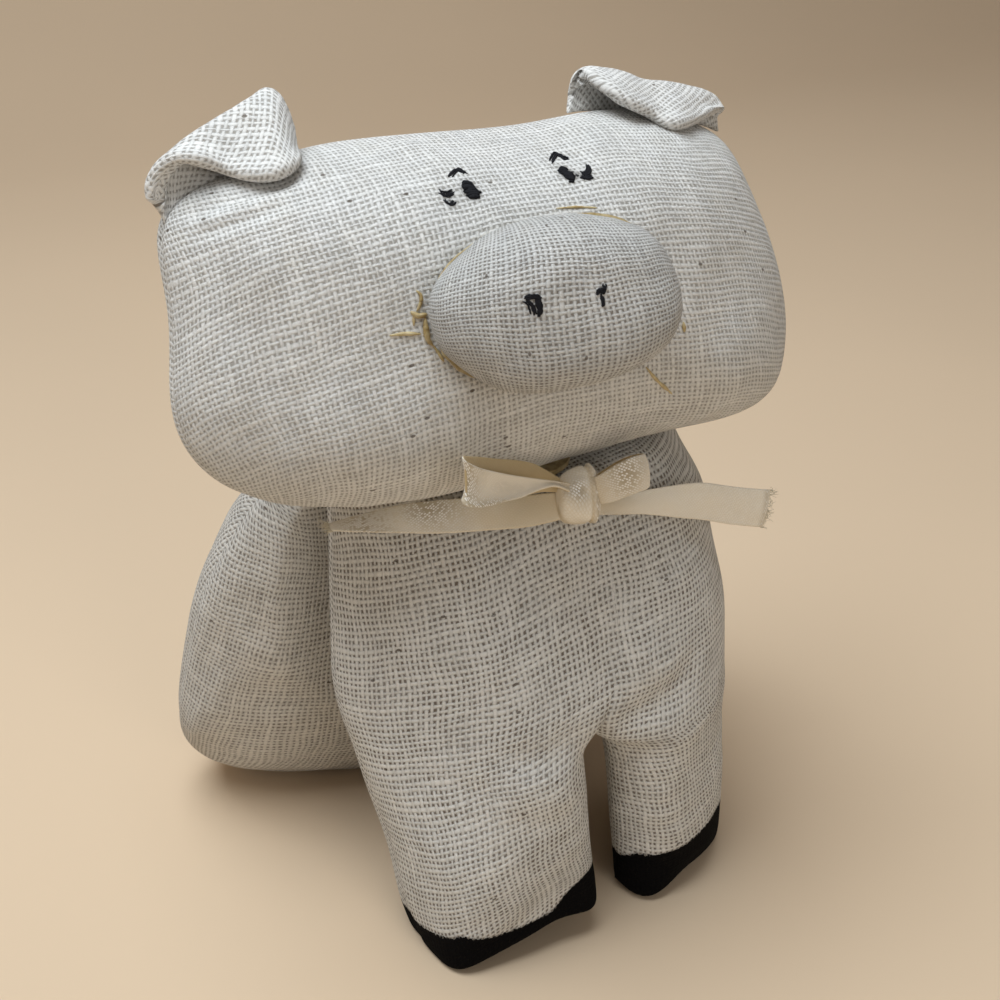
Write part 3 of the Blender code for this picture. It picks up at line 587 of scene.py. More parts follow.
@dataclass(frozen=True)
class Weave:
    """Plain weave of thick and thin undyed cotton threads with open holes between them."""

    name: str = "osnaburg"
    across_pitch: float = 0.00083
    up_pitch: float = 0.00097
    thread_share: float = 0.315
    crimp: float = 0.32
    relief: float = 0.00020
    ragged: float = 0.75
    # How light the cloth is; each piece's copy gets its own, as painted light and shade
    level: float = 0.74
    # Painted shade: how much lighter the thread tops are than their sides
    painted_relief_shade: float = 0.34
    thread: tuple = (0.765, 0.765, 0.755, 1.0)
    thread_tint: tuple = (0.73, 0.705, 0.655, 1.0)
    # Painted shade: the colour of the open holes, where the stuffing behind lies in shade
    hole: tuple = (0.22, 0.19, 0.155, 1.0)
    fleck: tuple = (0.10, 0.075, 0.05, 1.0)
    fleck_cell: float = 0.0065
    wander: float = 0.5
    pull: float = 2.2
    fuzz: float = 0.40
    slubs: tuple = (0.32, 0.40)
    painted: bool = False
    paint: tuple = (0.0035, 0.0032, 0.0035, 1.0)
    bleed: tuple = (0.12, 0.11, 0.10, 1.0)

    def threads(self, shader: Shader, across: Wire, up: Wire) -> tuple[Wire, Wire, Wire, Wire]:
        """The weave's pattern.

        Args:
            shader: The material.
            across: Threads counted across the cloth.
            up: Threads counted along it.

        Returns:
            Height, how open each place is, the threads' tone and the slubs.
        """
        wander_across = shader.noise(shader.vector(across, up * 0.16), 1.0, 1.0) - 0.5
        wander_up = shader.noise(shader.vector(across * 0.16, up, 7.3), 1.0, 1.0) - 0.5
        across = across + wander_across * self.wander
        up = up + wander_up * self.wander
        number_across, number_up = across.floor(), up.floor()
        aside_across = across.fraction() - 0.5
        aside_up = up.fraction() - 0.5

        slub_across = shader.noise(shader.vector(number_across * 3.1, up * 0.11, 2.0), 1.0, 2.0)
        slub_up = shader.noise(shader.vector(across * 0.11, number_up * 3.1, 9.0), 1.0, 2.0)
        fuzz = (shader.noise(shader.vector(across, up, 4.0), 3.4, 2.0, 0.75) - 0.5) * self.fuzz
        half_across = self.thread_share + (slub_across - 0.5) * self.slubs[0] + fuzz
        half_up = self.thread_share + (slub_up - 0.5) * self.slubs[1] + fuzz
        odd = (number_across + number_up) * 0.5
        over = 1.0 - (odd.fraction() * 4.0)

        def round_thread(aside: Wire, half: Wire) -> Wire:
            """A thread's own roundness, 0 at its edge and 1 on its middle."""
            share = (aside / half).size().at_most(1.0)
            return shader.maths("SQRT", 1.0 - share * share)

        wave_up = shader.maths("COSINE", aside_up * math.pi)
        wave_across = shader.maths("COSINE", aside_across * math.pi)
        round_across = round_thread(aside_across, half_across)
        round_up = round_thread(aside_up, half_up)
        lift_across = (round_across + over * wave_up * self.crimp) * round_across.step(0.0, 0.25)
        lift_up = (round_up - over * wave_across * self.crimp) * round_up.step(0.0, 0.25)
        height = lift_across.at_least(lift_up).at_least(0.0)

        gap = (aside_across.size() - half_across).at_most(aside_up.size() - half_up)
        opening = gap.step(-0.05, 0.09)
        tone_across = shader.chance(shader.vector(number_across, 3.0, 1.0))
        tone_up = shader.chance(shader.vector(number_up, 5.0, 2.0))
        upper = (lift_up - lift_across).step(-0.1, 0.1)
        tone = tone_across * (1.0 - upper) + tone_up * upper
        slub = slub_across * (1.0 - upper) + slub_up * upper
        return height, opening, tone, slub

    def make(self) -> bpy.types.Material:
        """Builds the material.

        Returns:
            The material.
        """
        shader = Shader(self.name)
        across_m, up_m = shader.uv(CLOTH_UV)
        place = shader.vector(across_m, up_m)
        pull = shader.noise(place, 90.0, 1.0) - 0.5
        across = across_m / self.across_pitch + pull * self.pull
        up = up_m / self.up_pitch + (shader.noise(place, 70.0, 1.0) - 0.5) * self.pull
        height, opening, tone, slub = self.threads(shader, across, up)

        fibre = shader.noise(place, 9000.0, 2.0, 0.7)
        patch = shader.noise(place, 130.0, 3.0, 0.6)
        tint = shader.noise(place, 260.0, 2.0)
        colour = shader.blend((tint * 0.75).at_most(1.0), self.thread, self.thread_tint)
        hair = shader.noise(place, 4200.0, 3.0, 0.75)
        # The threads' brightness: their own tone, slubs and fibres, plus painted shade that keeps thread tops
        # lighter
        light = self.level + tone * 0.09 + (slub - 0.5) * 0.36 + (fibre - 0.5) * 0.30 + (hair - 0.5) * 0.38
        light = light + height.step(0.15, 1.25) * self.painted_relief_shade + (patch - 0.5) * 0.14
        colour = shader.times(colour, light)
        # The open holes are painted dark as shade, some less than others
        closed = patch.step(0.28, 0.62) * 0.35 + 0.65
        colour = shader.blend(opening * closed * 0.92, colour, self.hole)

        colour = shader.blend(self.flecks(shader, place), colour, self.fleck)
        relief = height + (fibre - 0.5) * 0.6 + (hair - 0.5) * 0.7
        if self.painted:
            margin, _ = shader.uv(PAINT_UV)
            edge = (shader.noise(place, 1500.0, 3.0, 0.7) * 2.0 - 1.0) * self.ragged
            soaked = (margin + edge - (height - 0.6) * 0.25).step(0.12, -0.12)
            bleed = (margin + edge * 1.4).step(0.9, -0.1) * 0.35
            colour = shader.blend(bleed, colour, self.bleed)
            colour = shader.blend(soaked, colour, self.paint)
            relief = relief * (1.0 - soaked * 0.45)
        inputs = {"Base Color": colour, "Roughness": 0.9, "Sheen Roughness": 0.5}
        inputs["Sheen Weight"] = 0.0 if self.painted else 0.12
        inputs["Specular IOR Level"] = 0.06 if self.painted else 0.2
        inputs["Normal"] = shader.bump(relief, self.relief)
        return shader.finish(inputs)

    def flecks(self, shader: Shader, place: Wire) -> Wire:
        """Scattered dark specks of seed husk.

        Args:
            shader: The material.
            place: The place on the flat cloth.

        Returns:
            A mask, near 1 on a speck.
        """
        flat = shader.vector_maths("MULTIPLY", place, (1.0, 1.7, 1.0))
        settings = {"feature": "F1", "voronoi_dimensions": "2D"}
        inputs = {"Vector": flat, "Scale": 1 / self.fleck_cell, "Randomness": 1.0}
        node = shader.node("ShaderNodeTexVoronoi", settings, inputs)
        apart = Wire(shader, node.outputs["Distance"]) * self.fleck_cell / MM
        pick = shader.chance(Wire(shader, node.outputs["Color"]))
        ragged = shader.noise(place, 3500.0, 1.0) * 0.12
        return (apart + ragged).step(0.52, 0.34) * pick.step(0.86, 0.88) * 0.8


@dataclass(frozen=True)
class Satin:
    """Champagne satin ribbon: pale twill floats, duller bands at both edges, painted highlights and painted
    golden shade.
    """

    name: str = "champagne_satin"
    light: tuple = (0.98, 0.94, 0.86, 1.0)
    dark: tuple = (0.78, 0.70, 0.54, 1.0)
    # Painted shade: the golden colour laid where the ribbon is in shade
    golden_shade: tuple = (0.48, 0.35, 0.15, 1.0)
    # Painted shade: the darker gaps between the painted highlight cells
    shade: tuple = (0.34, 0.265, 0.145, 1.0)
    # Painted highlight: the near-white colour of the glinting twill cells
    painted_glint_white: tuple = (1.0, 0.99, 0.96, 1.0)
    pitch: float = 0.00052
    relief: float = 0.00004

    def make(self) -> bpy.types.Material:
        """Builds the material.

        Returns:
            The material.
        """
        shader = Shader(self.name)
        across, along = shader.uv(CLOTH_UV)
        place = shader.vector(across, along)
        lean = (along + across) / self.pitch
        row = lean.floor()
        ridge = shader.maths("SINE", lean.fraction() * math.pi)
        bits = (along - across) / (self.pitch * 1.3) + shader.chance(shader.vector(row, 1.0, 4.0)) * 0.6
        lump = shader.maths("SINE", bits.fraction() * math.pi)
        spark = shader.chance(shader.vector(row, bits.floor(), 8.0))
        soft = shader.noise(place, 420.0, 2.0)
        shade = (1.0 - ridge * lump) * 0.45 + soft * 0.25 + spark * 0.12
        edge = (across / RIBBON_WIDTH - 0.5).size().step(0.44, 0.47)
        # The second map says where highlights and golden shade are painted
        painted_glint, golden_shade = shader.uv(PAINT_UV)
        painted_glint_cells = ridge.step(0.35, 0.70) * lump.step(0.20, 0.50) * spark.step(0.20, 0.40) * painted_glint
        colour = shader.blend(shade.at_most(1.0), self.light, self.dark)
        colour = shader.blend(edge * 0.25, colour, self.dark)
        # Painted shade in a golden colour
        colour = shader.blend(golden_shade, colour, self.golden_shade)
        # Painted shade round the glinting cells, then painted highlights on the cells
        colour = shader.blend(painted_glint * 0.8, colour, self.shade)
        colour = shader.blend(painted_glint_cells, colour, self.painted_glint_white)
        relief = ridge * 0.55 + lump * 0.45 * (1.0 - edge) + soft * 0.8
        inputs = {"Base Color": colour, "Normal": shader.bump(relief, self.relief)}
        inputs |= {"Roughness": 0.30 - painted_glint_cells * 0.12, "Specular IOR Level": 0.8}
        inputs |= {"Sheen Weight": 0.2, "Sheen Roughness": 0.3}
        return shader.finish(inputs)


@dataclass(frozen=True)
class Yarn:
    """Twisted sewing thread or frayed ribbon fibre."""

    name: str
    colour: tuple
    dark: tuple
    rough: float = 0.92
    relief: float = 0.00008

    def make(self) -> bpy.types.Material:
        """Builds the material.

        Returns:
            The material.
        """
        shader = Shader(self.name)
        soft = shader.noise(shader.place(), 2500.0, 3.0, 0.7)
        colour = shader.blend(soft, self.colour, self.dark)
        normal = shader.bump(soft, self.relief)
        inputs = {"Base Color": colour, "Roughness": self.rough, "Specular IOR Level": 0.15, "Normal": normal}
        return shader.finish(inputs)


@dataclass(frozen=True)
class Glue:
    """Dried hot glue, yellow-brown and a little see-through."""

    name: str = "dried_glue"
    pale: tuple = (0.60, 0.50, 0.29, 1.0)
    dark: tuple = (0.36, 0.25, 0.10, 1.0)
    reach: tuple = (0.001, 0.0007, 0.0003)
    relief: float = 0.0002

    def make(self) -> bpy.types.Material:
        """Builds the material.

        Returns:
            The material.
        """
        shader = Shader(self.name)
        cloud = shader.noise(shader.place(), 900.0, 3.0, 0.6)
        colour = shader.blend(cloud.step(0.3, 0.75), self.pale, self.dark)
        inputs = {"Base Color": colour, "Roughness": 0.36, "Normal": shader.bump(cloud, self.relief)}
        inputs |= {"Subsurface Weight": 0.25, "Subsurface Radius": self.reach}
        return shader.finish(inputs)


@dataclass(frozen=True)
class Paper:
    """The pale warm sheet that the pig stands on."""

    name: str = "backdrop_paper"
    colour: tuple = (0.71, 0.55, 0.385, 1.0)

    def make(self) -> bpy.types.Material:
        """Builds the material.

        Returns:
            The material.
        """
        shader = Shader(self.name)
        cloud = shader.noise(shader.place(), 6.0, 2.0)
        colour = shader.times(self.colour, 0.96 + cloud * 0.08)
        return shader.finish({"Base Color": colour, "Roughness": 0.95})


# ---- mesh helpers


@dataclass
class Patch:
    """A grid of points with its place on the flat cloth.

    On cloth, paint is how far each point is from the paint; on satin, how much painted
    glinting highlight and how much painted golden shade it gets.
    """

    points: Array
    cloth: Array
    flipped: bool = False
    paint: Array | None = None

    def faces(self, start: int) -> Array:
        """The grid's quads.

        Args:
            start: The number of its first point.

        Returns:
            The four points of each quad.
        """
        rows, columns = self.points.shape[:2]
        index = np.arange(rows * columns).reshape(rows, columns) + start
        corners = [index[:-1, :-1], index[:-1, 1:], index[1:, 1:], index[1:, :-1]]
        quads = np.stack(corners, axis=-1).reshape(-1, 4)
        return quads[:, ::-1] if self.flipped else quads


def arc_length(lines: Array) -> Array:
    """Length along each line from its start, for points in the last axis but one."""
    steps = np.linalg.norm(np.diff(lines, axis=-2), axis=-1)
    return np.insert(np.cumsum(steps, axis=-1), 0, 0.0, axis=-1)


# Points of a cushion, a ribbon and a thread closer than this become one
CUSHION_MERGE = 2e-6
RIBBON_MERGE = 1e-6
THREAD_MERGE = 1e-7


def make_piece(
    name: str,
    patches: list[Patch],
    finish: "Weave | Satin | Yarn | Glue",
    slot: Slot,
    body: str,
    nodes: tuple = (),
    merge: float = CUSHION_MERGE,
) -> Piece:
    """Joins patches to one piece that rides on a body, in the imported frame.

    Args:
        name: The piece's name.
        patches: Its grids; where their edges touch, they are joined.
        finish: What it is made of.
        slot: The record's slot.
        body: The body that it rides on.
        nodes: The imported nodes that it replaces.
        merge: Points closer than this become one.

    Returns:
        The piece.
    """
    points, faces, cloth, paint = [], [], [], []
    for patch in patches:
        faces.append(patch.faces(sum(len(block) for block in points)))
        points.append(patch.points.reshape(-1, 3))
        cloth.append(patch.cloth.reshape(-1, 2))
        if patch.paint is not None:
            flat = patch.paint.reshape(len(points[-1]), -1)
            paint.append(np.pad(flat, ((0, 0), (0, 2 - flat.shape[1]))))
    mesh = bpy.data.meshes.new(name)
    mesh.from_pydata(np.concatenate(points).tolist(), [], np.concatenate(faces).tolist())
    corner = np.zeros(len(mesh.loops), np.int32)
    mesh.loops.foreach_get("vertex_index", corner)
    for layer, values in ((CLOTH_UV, cloth), (PAINT_UV, paint)):
        if values:
            uv = mesh.uv_layers.new(name=layer)
            uv.data.foreach_set("uv", np.concatenate(values)[corner].astype(np.float32).ravel())
    joined = bmesh.new()
    joined.from_mesh(mesh)
    bmesh.ops.remove_doubles(joined, verts=joined.verts, dist=merge)
    bmesh.ops.recalc_face_normals(joined, faces=joined.faces)
    joined.to_mesh(mesh)
    joined.free()
    mesh.shade_smooth()
    mesh.materials.append(finish.make())
    piece = bpy.data.objects.new(name, mesh)
    bpy.context.scene.collection.objects.link(piece)
    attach(piece, body)
    if nodes:
        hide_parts(*nodes)
    if slot in (Slot.CLOTH, Slot.SATIN):
        modifier = piece.modifiers.new("smooth", "SUBSURF")
        modifier.levels = modifier.render_levels = 1
        modifier.uv_smooth = "PRESERVE_BOUNDARIES"
    return piece


# A way that no thread runs in, and the radius of a tube's end
TUBE_GUIDE = np.array([0.31, 0.22, 0.92])
TUBE_POINT = 1e-6


def tube(path: Array, radii: Array, sides: int) -> Patch:
    """A round tube along a path, drawn in to a point at its ends.

    Args:
        path: Points along its middle.
        radii: Its radius at each point.
        sides: How many sides it has.

    Returns:
        The tube, its cloth map in metres.
    """
    along = unit(np.gradient(path, axis=0))
    first = unit(np.cross(along, TUBE_GUIDE))
    second = np.cross(along, first)
    path, first, second = (np.concatenate([row[:1], row, row[-1:]]) for row in (path, first, second))
    radii = np.concatenate([[TUBE_POINT], radii, [TUBE_POINT]])
    turn = np.linspace(0, 2 * math.pi, sides + 1)
    ring = np.cos(turn)[None, :, None] * first[:, None, :] + np.sin(turn)[None, :, None] * second[:, None, :]
    points = path[:, None, :] + ring * radii[:, None, None]
    round_it, along_it = np.broadcast_arrays(turn[None, :] * np.max(radii), arc_length(path)[:, None])
    return Patch(points, np.stack([round_it, along_it], axis=-1))


# Where a hem reaches its full thickness, as a share of its width
HEM_FULL_SHARE = 0.3


def leaf(middle: Array, half: float, hem: float, hem_width: float, cloth: Array) -> list[Patch]:
    """A closed sheet with rounded borders round a middle surface.

    Args:
        middle: A grid of points halfway through the sheet.
        half: Half its thickness.
        hem: Half its thickness at its last row's border.
        hem_width: How wide that thicker border is.
        cloth: Each point's place on the flat cloth, in metres.

    Returns:
        Its two sides.
    """
    across, along = arc_length(middle), arc_length(np.swapaxes(middle, 0, 1)).T
    end = along[-1:] - along
    border = np.minimum(np.minimum(across, across[:, -1:] - across), np.minimum(along, end))
    thick = half + (hem - half) * smooth_step(hem_width, HEM_FULL_SHARE * hem_width, end)
    share = 1 - np.minimum(border / thick, 1)
    thick = thick * np.sqrt(np.maximum(1 - share**2, 0))
    normals = grid_normals(middle, (0, 0, 1))
    sides = [middle + normals * thick[..., None], middle - normals * thick[..., None]]
    fall = np.gradient(cloth, axis=0)
    fall = fall / np.maximum(np.linalg.norm(fall, axis=-1, keepdims=True), TINY)
    maps = []
    for side in sides:
        further = arc_length(np.swapaxes(side, 0, 1)).T - along
        maps.append(cloth + fall * further[..., None])
    return [Patch(sides[0], maps[0]), Patch(sides[1], maps[1], flipped=True)]


# ---- the head


@dataclass
class Head:
    """The pillow-shaped head: two panels of cloth sewn edge to edge and stuffed."""

    weave: Weave
    trim: Trim
    creases: tuple
    stains: tuple
    width: float = 0.0938
    height: float = 0.0530
    depths: dict = field(default_factory=lambda: {Face.FRONT: 0.0205, Face.BACK: 0.0185})
    lean: float = math.radians(17)
    roll: float = math.radians(-1.5)
    place_at: tuple = (-0.0035, -0.0020)
    seat: float = 0.0784
    sink: float = 0.0018
    taper: float = 0.03
    draw: float = 0.035
    power: float = 4.4
    dome: tuple = (2.9, 0.62)
    grid: tuple = (121, 85)
    seam_depth: float = 0.0007
    seam_width: float = 0.0011
    swells: tuple = ((0.030, 0.00045, 11), (0.011, 0.00012, 21))
    back_cloth: tuple = (0.15, 0.0)
    arch: float = -3.1
    twist: float = -0.09
    fill: float = 0.85

    def place(self, points: Array) -> Array:
        """Stands the head on the body.

        Args:
            points: Points of the head's own frame, its middle at the origin.

        Returns:
            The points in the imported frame.
        """
        placed = points.copy()
        placed[..., 2] *= 1 - self.taper * points[..., 0] / (self.width / 2)
        placed[..., 0] *= 1 - self.draw * points[..., 2] / (self.height / 2)
        placed = turned(turned(placed, -self.lean, 0), self.roll, 1)
        stand = self.height / 2 * math.cos(self.lean) - self.sink
        middle = np.array([*self.place_at, self.seat + stand])
        return placed + middle + SHIFT

    def ring(self, across: Array, up: Array) -> Array:
        """How far out a place lies: 0 in the middle, 1 on the seam."""
        return ring_at(across, up, self.width, self.height, self.power)

    def depth(self, across: Array, up: Array, face: Face = Face.FRONT) -> Array:
        """The cloth's place in depth, negative towards the front."""
        return face.value * self.depths[face] * domed(self.ring(across, up), self.dome)

    def edge(self, other: Array, size: float, other_size: float) -> Array:
        """Half the head's size along a line that lies other away from its middle."""
        share = np.minimum(np.abs(other) / (other_size / 2), 0.999999)
        return size / 2 * (1 - share**self.power) ** (1 / self.power)

    def on_cloth(self, across: Array, up: Array, face: Face) -> Array:
        """Where places of the stuffed face lie on its flat panel.

        Args:
            across: Places across the head, from its middle, in metres.
            up: Places up it.
            face: Which panel.

        Returns:
            The places on the flat cloth, in metres.
        """
        steps = np.sin(np.linspace(0, math.pi / 2, 60))
        flat = []
        for value, other, sizes in (
            (across, up, (self.width, self.height)),
            (up, across, (self.height, self.width)),
        ):
            end = self.edge(other, *sizes)
            share = np.arcsin(np.clip(np.abs(value) / end, 0, 1)) / (math.pi / 2)
            line = end[..., None] * steps
            fixed = np.broadcast_to(other[..., None], line.shape)
            pair = (line, fixed) if value is across else (fixed, line)
            depth = self.depth(*pair, face)
            lengths = arc_length(np.stack([line, depth], axis=-1))
            at = share * (len(steps) - 1)
            low = np.clip(np.floor(at).astype(int), 0, len(steps) - 2)
            near = np.take_along_axis(lengths, low[..., None], axis=-1)[..., 0]
            far = np.take_along_axis(lengths, low[..., None] + 1, axis=-1)[..., 0]
            flat.append(np.sign(value) * (near + (far - near) * (at - low)))
        return np.stack([flat[0] - self.twist * flat[1], flat[1] - self.arch * flat[0] ** 2], axis=-1)

    def panel(self, face: Face) -> Patch:
        """One panel of the head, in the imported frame.

        Args:
            face: Which panel.

        Returns:
            The panel.
        """
        across, up, _ = round_grid(self.grid, self.power)
        across, up = across * self.width / 2, up * self.height / 2
        depth = self.depth(across, up, face)
        points = np.stack([across, depth, up], axis=-1)
        normals = grid_normals(points, (0, face.value, 0))
        inside = smooth_step(1.0, 0.93, self.ring(across, up))
        wave = swell(points, self.swells, face.value)
        if face is Face.FRONT:
            for crease in self.creases:
                wave = wave + crease.rise(across, up)
        points = points + normals * (wave * inside)[..., None]
        groove = self.seam_depth * bell(depth, self.seam_width) * (1 - self.ring(across, up) < 0.2)
        points = points - self.outward(across, up) * groove[..., None]
        placed = pressed(self.place(points), (0, 0, self.seat), (0, 0, -1))
        cloth = self.on_cloth(across, up, face)
        if face is Face.BACK:
            cloth = cloth + np.array(self.back_cloth)
        paint = stain_margin(np.stack([across, up], axis=-1), self.stains if face is Face.FRONT else ())
        return Patch(self.trim.apply(placed), cloth, flipped=face is Face.BACK, paint=paint)

    def outward(self, across: Array, up: Array) -> Array:
        """The way out of the seam, level with the head's own plane.

        Args:
            across: Places across the head, from its middle.
            up: Places up it.

        Returns:
            The way at each place.
        """
        power = self.power - 1
        sideways = np.sign(across) * (np.abs(across) / (self.width / 2)) ** power / self.width
        upwards = np.sign(up) * (np.abs(up) / (self.height / 2)) ** power / self.height
        return unit(np.stack([sideways, np.zeros_like(across), upwards], axis=-1))

    def at(self, places: Array) -> Array:
        """Places on the face, as (across, up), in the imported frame."""
        across, up = places[..., 0], places[..., 1]
        return self.trim.apply(self.place(np.stack([across, self.depth(across, up), up], axis=-1)))

    def build(self) -> Piece:
        """Builds the head's cushion.

        Returns:
            The piece.
        """
        nodes = ("head_front_panel", "head_back_panel", "head_filling")
        patches = [self.panel(face) for face in Face]
        piece = make_piece("head_cushion", patches, self.weave, Slot.CLOTH, "head", nodes)
        return piece


@dataclass
class Nose:
    """The oval nose pad, its cloth turned a quarter, glued on the head's front."""

    head: Head
    weave: Weave
    trim: Trim
    width: float = 0.0356
    height: float = 0.0214
    rise: float = 0.0105
    place_at: tuple = (-0.0015, 0.0020)
    turn: float = math.radians(-4)
    power: float = 2.5
    round_angle: float = math.radians(112)
    foot: float = 0.0011
    flatness: float = 0.45
    swells: tuple = ((0.016, 0.00022, 5), (0.006, 0.00008, 6))
    cloth_turn: float = math.radians(6)
    cloth_at: tuple = (0.31, 0.01425)
    cloth_reach: float = 2.2
    grid: tuple = (65, 49)
    fill: float = 0.9

    def place(self, across: Array, depth: Array, up: Array) -> Array:
        """Stands the pad on the face.

        Args:
            across: Places across the pad's own oval.
            depth: Places in depth, negative towards the front.
            up: Places up the oval.

        Returns:
            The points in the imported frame.
        """
        points = turned(np.stack([across, depth, up], axis=-1), self.turn, 1)
        points = points + np.array([self.place_at[0], 0, self.place_at[1]])
        points[..., 1] += self.head.depth(points[..., 0], points[..., 2])
        return self.head.place(points)

    def at(self, places: Array) -> Array:
        """Finds places on the pad's front.

        Args:
            places: The places, as (across, up).

        Returns:
            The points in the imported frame.
        """
        across, up = places[..., 0], places[..., 1]
        angle = np.arcsin(ring_at(across, up, self.width, self.height, self.power))
        low = math.cos(self.round_angle)
        rise = self.rise * (np.cos(angle) - low) / (1 - low)
        return self.trim.apply(self.place(across, -self.foot - rise, up))

    def build(self) -> Piece:
        """Builds the nose pad.

        Returns:
            The piece.
        """
        across, up, ring = round_grid(self.grid, self.power)
        angle = ring * self.round_angle
        out = np.divide(np.sin(angle), ring, out=np.full_like(ring, self.round_angle), where=ring > 0)
        low = math.cos(self.round_angle)
        rise = self.rise * (np.cos(angle * ring**self.flatness) - low) / (1 - low)
        flat_across, flat_up = across * out * self.width / 2, up * out * self.height / 2
        points = np.stack([flat_across, -rise, flat_up], axis=-1)
        wave = swell(points, self.swells) * smooth_step(1.0, 0.85, ring)
        points = points + grid_normals(points, (0, -1, 0)) * wave[..., None]
        placed = self.place(points[..., 0], points[..., 1] - self.foot, points[..., 2])
        reach = np.divide(angle, np.sin(angle), out=np.ones_like(angle), where=np.sin(angle) > 0.05)
        reach = np.minimum(reach, self.cloth_reach)
        cloth = np.stack([flat_up * reach, -flat_across * reach], axis=-1)
        cosine, sine = math.cos(self.cloth_turn), math.sin(self.cloth_turn)
        cloth = cloth @ np.array([[cosine, sine], [-sine, cosine]]) + np.array(self.cloth_at)
        patch = Patch(self.trim.apply(placed), cloth)
        nodes = ("nose_cover", "nose_filling")
        piece = make_piece("nose_pad", [patch], self.weave, Slot.CLOTH, "head", nodes)
        return piece


# ---- the body's front


